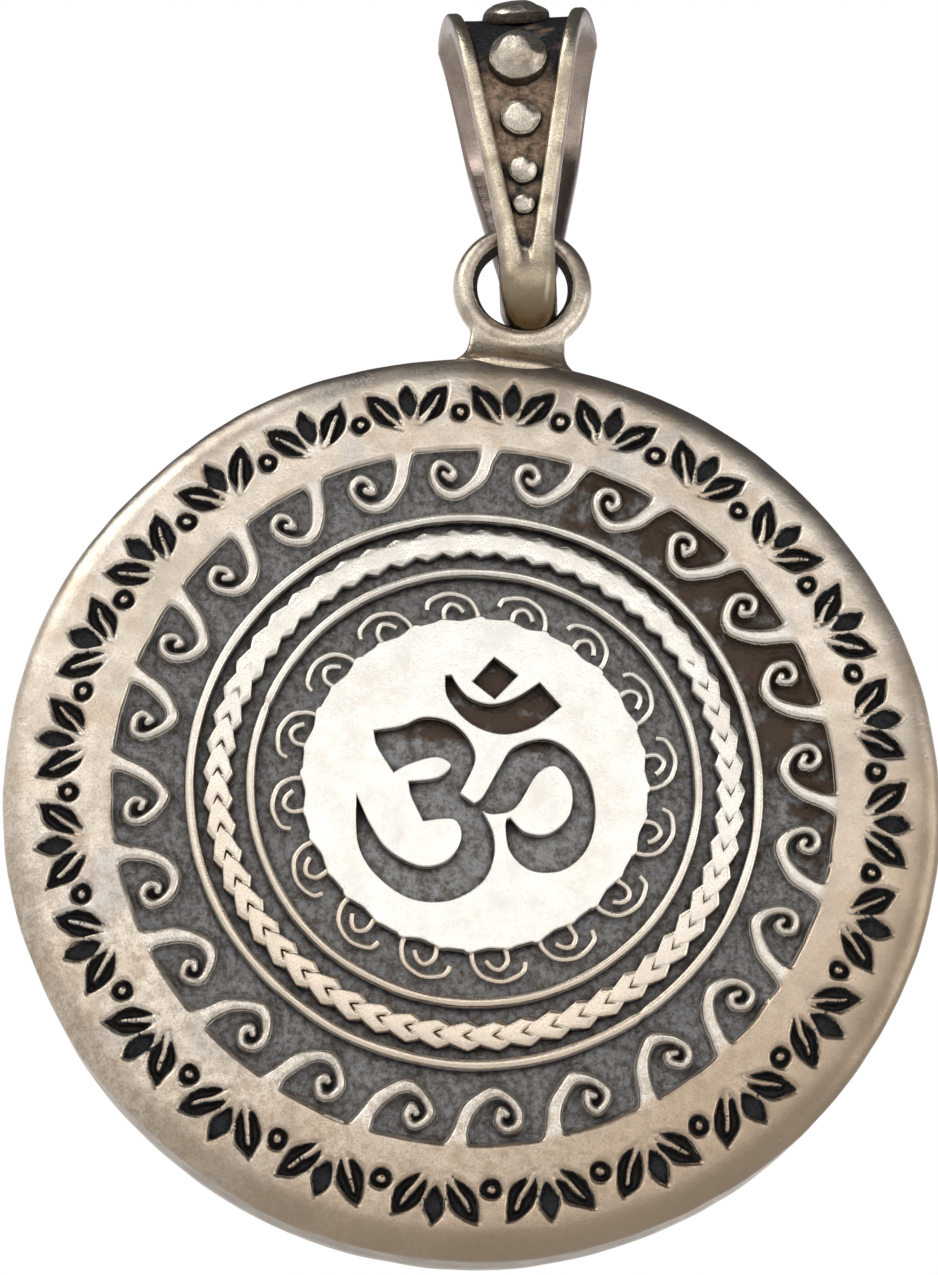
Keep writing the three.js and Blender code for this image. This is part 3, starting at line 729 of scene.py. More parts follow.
def round_tree(name, swept):
    """Repeats a unit round the medallion's axis. A swept unit is a curve that becomes a round wire first."""
    kinds = {"Count": ("NodeSocketInt", 1), "Wire Radius": ("NodeSocketFloat", 0.1 * MM),
             "Wear": ("NodeSocketFloat", 1.0), "Centre": ("NodeSocketVector", None),
             "Material": ("NodeSocketMaterial", None)}
    tree, start, end, sockets = new_tree(name, kinds)
    unit = start.outputs["Geometry"]
    if swept:
        values = {"Resolution": 10, "Radius": start.outputs["Wire Radius"]}
        profile = geometry_node(tree, "CurvePrimitiveCircle", values)
        values = {"Curve": unit, "Profile Curve": profile, "Fill Caps": True}
        unit = geometry_node(tree, "CurveToMesh", values)
    count = start.outputs["Count"]
    turn = times(tree, geometry_node(tree, "InputIndex"), math_node(tree, "DIVIDE", 2 * math.pi, count))
    values = {"Points": geometry_node(tree, "Points", {"Count": count}), "Instance": unit,
              "Rotation": put_together(tree, 0.0, turn, 0.0)}
    placed = geometry_node(tree, "InstanceOnPoints", values)
    real = geometry_node(tree, "RealizeInstances", {"Geometry": placed})
    mesh = geometry_node(tree, "MergeByDistance", {"Geometry": real, "Distance": 2e-7})
    if not swept:
        mesh = worn_plait(tree, mesh, start.outputs["Wear"])
    values = {"Geometry": mesh, "Translation": start.outputs["Centre"]}
    finish_tree(tree, start, end, geometry_node(tree, "Transform", values))
    return tree, sockets


# The ways that a granule's worn sides look, and how much more is left of each.
WORN_SIDES = (
    ((-0.2, -0.1, 0.97), 0.02),
    ((0.68, -0.1, 0.72), 0.1),
    ((-0.5, 0.55, 0.67), 0.14),
    ((-0.15, -0.8, 0.58), 0.16),
)


def worn_ball(tree, spot, wear):
    """Where a ball's points lie once its sides are rubbed flatter and its foot is cut level."""
    for facing, keep in WORN_SIDES:
        normal = Vector(facing).normalized()
        over = minus(tree, vector_node(tree, "DOT_PRODUCT", spot, normal), plus(tree, wear, keep))
        cut = times(tree, math_node(tree, "MAXIMUM", over, 0.0), 0.6)
        spot = vector_node(tree, "SUBTRACT", spot, vector_node(tree, "SCALE", tuple(normal), cut))
    x, y, z = parted(tree, spot)
    return put_together(tree, x, y, math_node(tree, "MAXIMUM", z, -0.22))


def granule_tree():
    """Sets a worn ball on each point, with its own size and turn, and roughens all of them."""
    kinds = {"Wear": ("NodeSocketFloat", 0.78), "Roughening": ("NodeSocketFloat", 0.1 * MM),
             "Material": ("NodeSocketMaterial", None)}
    tree, start, end, sockets = new_tree("granule_row", kinds)
    ball = geometry_node(tree, "MeshIcoSphere", {"Radius": 1.0, "Subdivisions": 5})
    spot = geometry_node(tree, "InputPosition")
    shine = ramp_share(tree, parted(tree, spot)["Z"], 0.1, 0.6)
    values = {"Geometry": ball, "Name": "polish", "Value": shine}
    clean = geometry_node(tree, "StoreNamedAttribute", values, data_type="FLOAT", domain="POINT")
    values = {"Geometry": clean, "Position": worn_ball(tree, spot, start.outputs["Wear"])}
    worn = geometry_node(tree, "SetPosition", values)
    size = geometry_node(tree, "InputNamedAttribute", {"Name": "size"}, data_type="FLOAT_VECTOR")
    turn = geometry_node(tree, "InputNamedAttribute", {"Name": "turn"}, data_type="FLOAT_VECTOR")
    values = {"Points": start.outputs["Geometry"], "Instance": worn, "Rotation": turn, "Scale": size}
    placed = geometry_node(tree, "InstanceOnPoints", values)
    real = geometry_node(tree, "RealizeInstances", {"Geometry": placed})
    lumps = value_of(tree, "ShaderNodeTexNoise", {"Scale": 1 / (0.8 * MM), "Detail": 2.5}).outputs["Color"]
    stray = vector_node(tree, "SUBTRACT", lumps, (0.5, 0.5, 0.5))
    stray = vector_node(tree, "SCALE", stray, start.outputs["Roughening"])
    finish_tree(tree, start, end, geometry_node(tree, "SetPosition", {"Geometry": real, "Offset": stray}))
    return tree, sockets


def grown(piece, tree, sockets, values):
    """Runs a node tree on a piece and returns the plain mesh object that comes out of it."""
    modifier = piece.modifiers.new("grow", "NODES")
    modifier.node_group = tree
    for label, value in values.items():
        modifier[sockets[label]] = value
    name = piece.name
    mesh = evaluated_mesh(piece)
    mesh.name = name
    return shown(name, mesh)


# Medallion


def face_swell(points, amount):
    """How far the cast face stands above or below flat."""
    return amount * (0.7 * ripple(points, 5.5, 3) + 0.3 * ripple(points, 2.1, 4))


def snapped(points, distance_at, reach):
    """Moves the points nearest to an outline onto it, so that its edge is clean."""
    step = 0.01
    distance = distance_at(points)
    slope_x = (distance_at(points + [step, 0]) - distance) / step
    slope_y = (distance_at(points + [0, step]) - distance) / step
    slope = np.stack([slope_x, slope_y], -1)
    length = np.maximum((slope**2).sum(-1, keepdims=True), 0.25)
    near = np.abs(distance) < reach
    return np.where(near[:, None], points - distance[:, None] * slope / length, points)


def wave_lines(settings):
    """Centre line and half widths of each wave, each a little different from the next."""
    route = np.array([
        (0.12, 0.12), (-0.02, -0.22), (-0.3, -0.55), (-0.82, -0.8), (-1.4, -0.895), (-2.02, -0.78),
        (-2.36, -0.52), (-2.22, -0.31), (-1.78, -0.25), (-1.46, -0.41), (-1.6, -0.57), (-1.84, -0.5),
    ])
    widths = np.array([0.95, 0.52, 0.5, 0.4, 0.4, 0.3, 0.26, 0.24, 0.23, 0.22, 0.2, 0.2]) / 2
    source = np.random.default_rng(11)
    for i in range(settings.waves):
        angle = math.degrees(settings.first_wave) + i * 360 / settings.waves + source.normal(0, 0.25)
        stray = source.normal(0, 0.03, route.shape) * np.linspace(0.2, 1, len(route))[:, None]
        along = route[:, 0] + stray[:, 0]
        dip = (route[:, 1] + stray[:, 1] * 0.5) * 2.17
        line = spline(beside_circle(angle, RECESS_RADIUS, along, dip), 60)
        yield angle, line, np.interp(np.linspace(0, 1, 61), np.linspace(0, 1, len(widths)), widths)


def near_angle(points, angle, before, after):
    """Which points lie within a few degrees of an angle on the medallion."""
    away = (np.degrees(np.arctan2(points[:, 0], points[:, 1])) - angle + 180) % 360 - 180
    return (away > -before) & (away < after)


def wave_distance(settings):
    waves = list(wave_lines(settings))

    def distance_at(points):
        bent = points + 0.035 * np.stack([ripple(points, 1.6, 21), ripple(points, 1.6, 22)], -1)
        found = np.hypot(bent[:, 0], bent[:, 1]) - RECESS_RADIUS
        best = np.full(len(points), FAR)
        for angle, line, half in waves:
            near = near_angle(points, angle, 13.5, 4.5)
            best[near] = np.maximum(best[near], line_distance(bent[near], line, half))
        fillet = 0.16
        share = np.clip(0.5 + (found - best) / (2 * fillet), 0, 1)
        return best * (1 - share) + found * share + fillet * share * (1 - share)

    return distance_at


def raised(distance, top, floor, edge, wall=0.13, drop=0.1, foot=0.0):
    """Level of a relief whose tops lie where the distance is positive."""
    crown = np.clip(1 - distance / edge, 0, 1)
    rounded = top - drop * (1 - np.sqrt(1 - crown**2 * 0.999))
    fall = (1 - foot) * smooth_step(-distance, 0, wall) + foot * smooth_step(-distance, 0, 0.45)
    return np.where(distance >= 0, rounded, (top - drop) * (1 - fall) + floor * fall)


def recess_relief(settings):
    """The recess floor with its waves and the wall they grow from."""
    columns = settings.waves * POINTS_PER_UNIT
    plain_rows, wave_rows = np.arange(6.2, 10.9, 0.22), np.linspace(10.95, 14.05, 46)
    radii = np.concatenate([plain_rows, wave_rows, [14.15, 14.25, SEAM_RADIUS]])
    points = polar_points(radii, columns)
    distance_at = wave_distance(settings)
    reach = np.hypot(*points.T)
    fine = (reach > 11.1) & (reach < 14.0)
    points[fine] = snapped(points[fine], distance_at, 0.036)
    distance = np.full(len(points), FAR)
    outer = reach > 10.9
    distance[outer] = distance_at(points[outer])
    swell = face_swell(points, settings.unevenness / MM)
    grain = 0.02 * ripple(points, 0.7, 31) + 0.012 * ripple(points, 0.28, 32)
    level = raised(distance, 0.0, -RECESS_DEPTH, settings.wave_edge / MM, foot=0.35)
    level = level + np.where(distance < -0.1, grain, swell)
    under = ring_rows([(SEAM_RADIUS, -0.85), (6.2, -0.85)], columns)
    body = np.vstack([np.column_stack([points, level]), *under])
    polish = np.concatenate([smooth_step(distance, -0.1, 0.02), np.zeros(2 * columns)])
    return body, ring_faces(len(radii) + 2, columns, closed=True), polish


def leaf_outline(middle, direction, length, breadth):
    along = np.concatenate([np.linspace(0.5, -0.5, 12)[:-1], np.linspace(-0.5, 0.5, 12)[:-1]]) * length
    side = np.repeat([1, -1], 11)
    across = side * 0.5 * breadth * np.cos(np.pi * along / length)
    turn = np.array([[math.cos(direction), math.sin(direction)], [-math.sin(direction), math.cos(direction)]])
    return np.stack([along, across], -1) @ turn + middle


def leaf_shapes(settings):
    """Pockets of each group, and the raised vein inside each leaf."""
    radius = sum(LEAF_BAND) / 2
    half_pitch = math.pi * radius / settings.leaf_groups
    source = np.random.default_rng(5)
    for i in range(settings.leaf_groups):
        angle = i * 360 / settings.leaf_groups
        pockets, veins = [], []
        for side in (-1, 1):
            tilt = 38 * side + source.normal(0, 2.5)
            heading = math.pi / 2 - math.radians(angle + tilt)
            along = 0.98 * side + source.normal(0, 0.03)
            middle = beside_circle(angle, radius, along, source.normal(0, 0.03))
            pockets.append(leaf_outline(middle, heading, 2.1, 1.0))
            reach = np.array([math.cos(heading), math.sin(heading)])
            veins.append(np.array([middle - 0.95 * reach, middle + 0.45 * reach]))
        heading = math.pi / 2 - math.radians(angle)
        middle = beside_circle(angle, radius, 0, 0.28)
        pockets.append(leaf_outline(middle, heading, 1.5, 0.78))
        yield angle, pockets, veins, beside_circle(angle, radius, half_pitch, -0.35)


def leaf_distance(settings):
    groups = list(leaf_shapes(settings))
    pitch = 360 / settings.leaf_groups

    def distance_at(points):
        bent = points + 0.045 * np.stack([ripple(points, 0.8, 41), ripple(points, 0.8, 42)], -1)
        inside = np.full(len(points), FAR)
        vein = np.full(len(points), FAR)
        for angle, pockets, veins, bead in groups:
            near = near_angle(points, angle, 0.75 * pitch, 0.75 * pitch)
            for pocket in pockets:
                inside[near] = np.maximum(inside[near], outline_distance(bent[near], pocket))
            inside[near] = np.maximum(inside[near], 0.39 - np.linalg.norm(bent[near] - bead, axis=1))
            vein[near] = np.maximum(vein[near], 0.15 - np.linalg.norm(bent[near] - bead, axis=1))
            for line in veins:
                vein[near] = np.maximum(vein[near], line_distance(bent[near], line, np.array([0.13, 0.04])))
        return np.maximum(-inside, vein)

    return distance_at


def band_face(settings, columns):
    """The outer band's face with its pockets: the points, and how polished each is."""
    radii = np.concatenate([[SEAM_RADIUS, 14.5, 14.6], np.linspace(14.66, 16.96, 36), [17.05, 17.15]])
    distance_at = leaf_distance(settings)
    points = snapped(polar_points(radii, columns), distance_at, 0.034)
    distance = distance_at(points)
    bulge = np.clip((np.hypot(*points.T) - LEAF_BAND[1]) / (DISC_RADIUS - LEAF_BAND[1]), 0, 0.999)
    level = raised(distance, 0.0, -LEAF_DEPTH, 0.14) - RIM_FALL * (1 - np.sqrt(1 - bulge**2))
    level = level + np.where(distance < -0.1, 0.03 * ripple(points, 0.5, 51), 0.0)
    polish = smooth_step(distance + 0.035 * ripple(points, 0.55, 53), -0.1, 0.07)
    return np.column_stack([points, level]), polish


def band_rim():
    """Rings, as radius and level, over the rounded rim, down the side and along the back to its middle."""
    back = -THICKNESS
    rim = []
    for turn in np.radians(np.linspace(70, 0, 11)):
        rim.append((LEAF_BAND[1] + 1.2 * math.cos(turn), RIM_FALL * (math.sin(turn) - 1)))
    side = [(18.0, -1.0), (18.0, -1.6), (18.0, -2.3), (18.0, back + 0.25)]
    edge = [(17.96, back + 0.12), (17.88, back + 0.03), (17.75, back)]
    return rim + side + edge + [(radius, back) for radius in (17.0, 15.0, 11.0, 6.0, 2.5, 0.6)]


def worn_band(body, unevenness):
    """The band's points with the rim worn in here and there and the face a little uneven."""
    flat, level = body[:, :2], body[:, 2]
    reach = np.hypot(*flat.T)
    worn = np.minimum(0.05 * ripple(body, 6.0, 61) + 0.02 * ripple(body, 1.7, 62) - 0.03, 0.0)
    worn = worn * smooth_step(reach, 17.1, 17.7)
    flat = flat + flat / reach[:, None] * worn[:, None]
    swell = face_swell(flat, unevenness) * (1 - smooth_step(reach, 17.3, 17.9))
    return np.column_stack([flat, level + np.where(level > -0.35, swell, 0.0)])


def band_tarnish_and_shade(body):
    """How dark each point is painted, as brown tarnish and as painted shade where the rim turns away: the
    side, and the band's edge at the lower right and a little at the top.
    """
    reach = np.hypot(body[:, 0], body[:, 1])
    side = 0.9 * smooth_step(-body[:, 2], 0.35, 0.8) * (reach > LEAF_BAND[1])
    lower_right = smooth_step((body[:, 0] * 0.6 - body[:, 1] * 0.8) / 18, -0.3, 0.95)
    upper = 0.2 * smooth_step(body[:, 1] / 18, 0.45, 0.95)
    amount = (0.1 + 0.9 * np.maximum(lower_right, upper)) * (0.82 + 0.22 * ripple(body, 3.4, 55))
    # Brown tarnish together with painted shade towards the rounded rim.
    tarnish = smooth_step(reach, 15.6, 17.6) * amount
    return np.clip(np.maximum(side, tarnish), 0, 1) * (body[:, 2] > 0.3 - THICKNESS)


def leaf_band(settings):
    """The outer band with its pockets, the rounded rim, the side and the flat back, as one closed skin."""
    columns = settings.leaf_groups * POINTS_PER_UNIT
    face, polish = band_face(settings, columns)
    rim = band_rim()
    hidden = [(0.6, -0.9), (14.3, -0.9)]
    body = worn_band(np.vstack([face, *ring_rows(rim, columns)]), settings.unevenness / MM)
    body = np.vstack([[[0, 0, -0.9]], *ring_rows(hidden, columns), body, [[0, 0, -THICKNESS]]])
    last = len(body) - 1
    column = np.arange(columns)
    following = (column + 1) % columns
    fan = np.column_stack([np.zeros(columns, int), following + 1, column + 1])
    cap = np.column_stack([np.full(columns, last), last - columns + column, last - columns + following])
    rings = ring_faces((last - 1) // columns, columns) + 1
    faces = [tuple(face) for group in (rings, fan, cap) for face in group]
    dull, bright = np.zeros(1 + len(hidden) * columns), np.ones(len(rim) * columns + 1)
    return body, faces, np.concatenate([dull, polish, bright]), band_tarnish_and_shade(body)


def border_wire(inner, outer, joint_angle, seed):
    """A round wire on the recess floor, worn a little flat and not quite even."""
    columns, sides = 420, 12
    turn = turns(columns)
    spot = on_circle(turn)
    middle = (inner + outer) / 2 + 0.02 * ripple(spot, 0.35, seed)
    half = (outer - inner) / 2 * (1 + 0.07 * ripple(spot, 0.2, seed + 1))
    gap = np.abs((np.degrees(turn) - joint_angle + 180) % 360 - 180)
    half = half * (1 - 0.3 * np.exp(-((gap / 0.9) ** 2)))
    rings = []
    for around in turns(sides):
        radius = middle + half * math.cos(around)
        height = -0.12 + half * 1.15 * math.sin(around)
        height = np.minimum(height, 0.05) if math.sin(around) > 0 else np.maximum(height - 0.35, -0.7)
        rings.append(np.column_stack([radius * np.sin(turn), radius * np.cos(turn), height]))
    return np.vstack(rings[::-1]), ring_faces(sides, columns, closed=True)


def chevron_unit(count):
    """One chevron of the plait as a closed tube segment, about the medallion's axis, in millimetres."""
    pitch = 2 * math.pi / count
    middle, half = sum(PLAIT) / 2, (PLAIT[1] - PLAIT[0]) / 2
    along = np.array([0, 0.03, 0.07, 0.13, 0.22, 0.31, 0.37, 0.4, 0.43, 0.5, 0.6, 0.7, 0.8, 0.88, 0.94, 1.0])
    beside = np.array([0.0, 0.1, 0.22, 0.34, 0.46, 0.6, 0.74, 0.86, 0.94, 1.0])
    across = np.concatenate([beside[::-1], -beside[1:]])
    rings = []
    for place in along:
        notch = 0.23 * (abs(place - 0.4) / (0.4 if place < 0.4 else 0.6)) ** 1.15
        reach = half - notch
        section = [(reach, 1.0, -RECESS_DEPTH), (reach, 1.0, -0.52)]
        for share in across:
            crown = -0.01 - 0.03 * abs(share) ** 2 - 0.08 * smooth_step(abs(share), 0.84, 1.0)
            crack = math.exp(-((min(place, 1 - place) / 0.045) ** 2))
            groove = crack * (0.01 + 0.29 * (1 - smooth_step(abs(share), 0.2, 0.6)))
            section.append((share * reach, abs(share), crown - groove))
        section += [(-reach, 1.0, -0.52), (-reach, 1.0, -RECESS_DEPTH)]
        for offset, share, level in section:
            angle = (place + 0.55 * (1 - share)) * pitch
            radius = middle + offset
            rings.append((radius * math.sin(angle), -level, radius * math.cos(angle)))
    return np.array(rings), ring_faces(len(along), len(rings) // len(along))


SIGN = [
    [[(0.27, 5.04), (1.25, 4.4)], [(1.25, 4.4), (0.46, 3.36)], [(0.46, 3.36),
      (-0.46, 3.98)], [(-0.46, 3.98), (0.27, 5.04)]],
    [[(-1.54, 4.08), (-1.31, 4.13)],
     [(-1.31, 4.13), (-1.0, 3.69), (-0.58, 3.31), (0, 3.12), (0.5, 3.14), (1.04, 3.35), (1.54, 3.69),
      (2.12, 4.19)],
     [(2.12, 4.19), (3.02, 3.31)],
     [(3.02, 3.31), (2.0, 2.38), (0.81, 1.98), (-0.42, 2.31), (-1.35, 3.23), (-1.54, 4.08)]],
    [[(-4.05, 1.58), (-3.0, 1.88), (-2.19, 2.31), (-1.19, 2.23), (-0.42, 1.62), (-0.09, 0.77),
      (-0.54, -0.58)],
     [(-0.54, -0.58), (0.04, -0.92)],
     [(0.04, -0.92), (0.35, -0.62), (0.85, 0.54), (1.35, 1.46), (2.5, 1.92), (3.5, 1.54), (4.35, 0.46),
      (4.67, -1.0),
      (4.42, -2.31), (3.58, -3.15), (2.42, -3.27), (1.58, -2.62), (1.31, -1.58), (1.46, -1.35)],
     [(1.46, -1.35), (2.08, -1.85), (3.0, -1.81), (3.69, -1.0), (3.69, 0.15), (3.04, 0.91),
      (2.35, 0.54), (1.65, -0.85),
      (0.88, -1.21), (0.35, -1.15)],
     [(0.35, -1.15), (0.85, -2.0), (0.96, -3.0), (0.58, -4.0), (-0.58, -4.77), (-2.04, -4.81),
      (-3.42, -4.0),
      (-4.19, -2.85), (-4.44, -1.04)],
     [(-4.44, -1.04), (-3.81, -2.15), (-3.0, -3.08), (-1.73, -3.58), (-0.73, -3.23), (-0.31, -2.31),
      (-0.65, -1.58),
      (-1.81, -1.77)],
     [(-1.81, -1.77), (-2.35, -0.85), (-2.52, -0.31)],
     [(-2.52, -0.31), (-1.42, -0.04), (-0.98, 0.54), (-1.58, 0.81), (-2.58, 0.42), (-3.12, 0.02)],
     [(-3.12, 0.02), (-3.85, 1.0), (-4.05, 1.58)]],
]


def sign_outline(runs):
    """One closed outline of the sign from its runs between corners."""
    return np.vstack([spline(run, 9 * (len(run) - 1) if len(run) > 2 else 6)[:-1] for run in runs])


def boss_outline(scrolls):
    """The boss's edge, which rises and falls a little beside each scroll."""
    turn = turns(480)
    spot = on_circle(turn)
    pitch = 360 / scrolls
    reach = BOSS_RADIUS + 0.025 * ripple(spot, 0.3, 71)
    along = np.radians((np.degrees(turn) - FIRST_SCROLL + pitch / 2) % pitch - pitch / 2) * BOSS_RADIUS
    for place, width, rise in SCALLOPS:
        reach = reach + rise * np.exp(-(((along - place) / width) ** 2))
    return spot * reach[:, None]


def boss_plate(scrolls):
    """The boss's polished plate with the sign cut through it, as a curve that is filled and bevelled."""
    curve = bpy.data.curves.new("boss_plate", "CURVE")
    curve.dimensions = "2D"
    curve.fill_mode = "BOTH"
    curve.extrude = 0.22
    curve.bevel_depth = 0.06
    curve.bevel_resolution = 3
    curve.offset = -0.06
    for outline in (boss_outline(scrolls), *map(sign_outline, SIGN)):
        line = curve.splines.new("POLY")
        line.points.add(len(outline) - 1)
        for point, (x, y) in zip(line.points, outline):
            point.co = (x, y, 0, 1)
        line.use_cyclic_u = True
    mesh = evaluated_mesh(shown("boss_plate", curve))
    welded = bmesh.new()
    welded.from_mesh(mesh)
    bmesh.ops.remove_doubles(welded, verts=welded.verts, dist=0.0005)
    bmesh.ops.recalc_face_normals(welded, faces=welded.faces)
    welded.to_mesh(mesh)
    welded.free()
    points, _, faces = mesh_parts(mesh)
    return points + [0, 0, BOSS_LEVEL - 0.28], faces


def sign_floor():
    """The slab under the boss's plate, as points and faces; its grainy top is the floor of the sign."""
    columns = 180
    radius = BOSS_RADIUS - 0.25
    radii = np.arange(0.15, radius + 1e-6, 0.12)
    points = polar_points(radii, columns)
    grain = 0.03 * (0.6 * ripple(points, 0.9, 101) + 0.4 * ripple(points, 0.35, 102))
    top = np.column_stack([points, BOSS_LEVEL - SIGN_DEPTH + grain])
    body = np.vstack([top, *ring_rows([(radius, -RECESS_DEPTH), (0.15, -RECESS_DEPTH)], columns)])
    faces = ring_faces(len(radii) + 2, columns, closed=True)[:-columns].tolist()
    last = (len(radii) + 1) * columns
    return body, [*faces, range(last, last + columns), range(columns - 1, -1, -1)]


# The two lines of a scroll, along the boss's edge and out from it, each with its number of steps.
HOOP = ([(-0.84, 0.5), (-0.66, 0.78), (0, 0.93), (0.66, 0.72), (0.98, 0.3), (1.02, -0.1)], 30)
HOOK = ([(-0.24, -0.1), (-0.25, 0.34), (0.02, 0.56), (0.3, 0.48), (0.5, 0.27)], 24)


def scroll_curve():
    """One scroll as two lines. Each thickens at its root on the boss, which the hoop has at its end."""
    curve = bpy.data.curves.new("scrolls", "CURVE")
    curve.dimensions = "3D"
    for (route, steps), breadth, root_last in ((HOOP, 1.0, True), (HOOK, 1.2, False)):
        along, rise = np.array(route).T
        points = spline(beside_circle(FIRST_SCROLL, BOSS_RADIUS, along, rise * 1.27), steps)
        line = curve.splines.new("POLY")
        line.points.add(len(points) - 1)
        from_start = np.arange(len(points))
        from_end = from_start[::-1]
        free, root = (from_start, from_end) if root_last else (from_end, from_start)
        radii = np.minimum(1.0, free / 9 + 0.35) * breadth + 0.45 * np.maximum(0.0, 1 - root / 4)
        for point, (x, y), radius in zip(line.points, points, radii):
            point.co = (x * MM, 0.3 * MM, y * MM, 1)
            point.radius = radius
    return curve


def ring_wire():
    """The hanging ring's round wire, as points and faces."""
    steps, sides = 180, 36
    turn = np.repeat(turns(steps), sides)
    around = np.tile(turns(sides), steps)
    reach = RING_RADIUS + RING_WIRE / 2 * np.cos(around)
    level = RING_WIRE / 2 * np.sin(around) - RING_SETBACK
    points = np.column_stack([reach * np.sin(turn), RING_HEIGHT + reach * np.cos(turn), level])
    return points, ring_faces(steps, sides, closed=True)


def ring_neck():
    """The neck under the ring, which widens to its foot on the disc's edge, as points and faces."""
    neck_turn = math.asin(NECK_WAIST / 2 / RING_RADIUS)
    rise = np.linspace(17.3, RING_HEIGHT - math.sqrt(RING_RADIUS**2 - (NECK_WAIST / 2) ** 2), 28)
    half = NECK_WAIST / 2 + 0.85 * np.exp(-np.maximum(rise - 17.75, 0) / 0.33)
    arc = np.linspace(neck_turn, -neck_turn, 26)[1:-1]
    under = np.column_stack([RING_RADIUS * np.sin(arc), RING_HEIGHT - RING_RADIUS * np.cos(arc)])
    outline = np.vstack([np.column_stack([half, rise]), under, np.column_stack([-half, rise])[::-1]])
    thick = NECK_THICKNESS - 0.5 * smooth_step(outline[:, 1], 17.7, 19.1)
    walls = [np.column_stack([outline, side * thick / 2 - RING_SETBACK]) for side in (-1, 1)]
    count = len(outline)
    ends = [range(count - 1, -1, -1), range(count, 2 * count)]
    return np.vstack(walls), [*ring_faces(2, count), *ends]


def solder_mound():
    """The mound of solder that runs from the neck over the rim, as points and faces."""
    count = 24
    polar, around = np.meshgrid(np.linspace(0.05, math.pi - 0.05, count), turns(count), indexing="ij")
    points = np.column_stack([
        2.5 * (np.sin(polar) * np.cos(around)).ravel(),
        17.72 + 0.72 * (np.sin(polar) * np.sin(around)).ravel(),
        -1.12 + 1.05 * np.cos(polar).ravel(),
    ])
    last = count * (count - 1)
    ends = [range(count), range(last + count - 1, last - 1, -1)]
    return points, [*ring_faces(count, count)[:, ::-1], *ends]


def softened(piece, voxel, rounds):
    """Melts a piece's overlapping bodies into one soft skin: its points in millimetres, normals and faces."""
    remesh = piece.modifiers.new("remesh", "REMESH")
    remesh.mode = "VOXEL"
    remesh.voxel_size = voxel * MM
    relax = piece.modifiers.new("relax", "SMOOTH")
    relax.factor = 0.5
    relax.iterations = rounds
    points, normals, faces = mesh_parts(evaluated_mesh(piece))
    return points / MM, normals, faces


# Bail

LEG_TILT = math.asin((CROWN_RADIUS - BEND_RADIUS) / (BAIL_HEIGHT - CROWN_RADIUS - BEND_RADIUS))
CROWN_CENTRE = STRAP_THICKNESS - CROWN_RADIUS
BEND_CENTRE = STRAP_THICKNESS - BAIL_HEIGHT + BEND_RADIUS
CROWN_LENGTH = CROWN_RADIUS * (math.pi / 2 + LEG_TILT)
LEG_LENGTH = (CROWN_CENTRE - BEND_CENTRE) * math.cos(LEG_TILT)
HALF_LENGTH = CROWN_LENGTH + LEG_LENGTH + BEND_RADIUS * (math.pi / 2 - LEG_TILT)


def strap_at(length):
    """The strap's outer face at a length from the crown's top: its point and the way it looks."""
    run, side = abs(length), (1 if length >= 0 else -1)
    after_leg = run - CROWN_LENGTH - LEG_LENGTH
    turn = min(run / CROWN_RADIUS, math.pi / 2 + LEG_TILT) + max(after_leg, 0) / BEND_RADIUS
    normal = np.array([0, -side * math.sin(turn), math.cos(turn)])
    if after_leg > 0:
        return normal * BEND_RADIUS + [0, 0, BEND_CENTRE], normal
    down = np.array([0, -side * math.cos(turn), -math.sin(turn)])
    return normal * CROWN_RADIUS + [0, 0, CROWN_CENTRE] + down * max(run - CROWN_LENGTH, 0), normal


def strap_section(length, settings):
    """The strap's section, across and outwards, with how polished and how far on the side each point is."""
    run = abs(length)
    full_depth = settings.channel_depth / MM
    half = (CROWN_WIDTH + (BEND_WIDTH - CROWN_WIDTH) * min(run / TAPER_LENGTH, 1)) / 2
    soft = 0.18 + 0.5 * float(smooth_step(run, CROWN_LENGTH, HALF_LENGTH))
    start = CROWN_WIDTH / 2 - settings.rail_width / MM
    channel = start + (0.2 - start) * min(run / CHANNEL_LENGTH, 1)
    fade = float(smooth_step(CHANNEL_LENGTH + 0.6 - run, 0, 1.6))
    depth = full_depth * fade
    lip = min(0.12, (half - channel) / 3)
    left = [
        (-half + soft * (1 - math.cos(turn)), -soft * (1 - math.sin(turn)))
        for turn in np.radians(np.linspace(0, 80, 6))
    ]
    left += [(-channel - lip, 0.0), (-channel - 0.04, -0.04 * fade), (-channel + 0.02, -0.7 * depth),
             (-channel + 0.1, -depth)]
    floor = [(share * (channel - 0.14), -depth) for share in np.linspace(-1, 1, 13)]
    inner_round = min(soft, 0.25)
    under = [(half, -STRAP_THICKNESS + inner_round), (half - inner_round, -STRAP_THICKNESS),
             (0.4 * half, -STRAP_THICKNESS - 0.02)]
    under += [(-across, out) for across, out in reversed(under)]
    section = left + floor + [(-across, out) for across, out in reversed(left)] + under
    polish = [0.9] * 6 + [1.0, 0.9, 1 - 0.7 * fade, 1 - fade]
    shine = polish + [1 - fade] * 13 + polish[::-1] + [0.8] * 6
    # How much of the painted side shade each point of the section takes.
    edge = [1.0, 0.8, 0.5, 0.2, 0.0, 0.0]
    wall = edge + [0.0] * 21 + edge[::-1] + [1.0, 0.7, 0.6, 0.6, 0.7, 1.0]
    return np.array(section), np.array(shine), np.array(wall)


def bail_frame(points):
    """Turns points of the bail's own frame into the row frame."""
    return np.asarray(points) @ np.array(BAIL_TURN).T


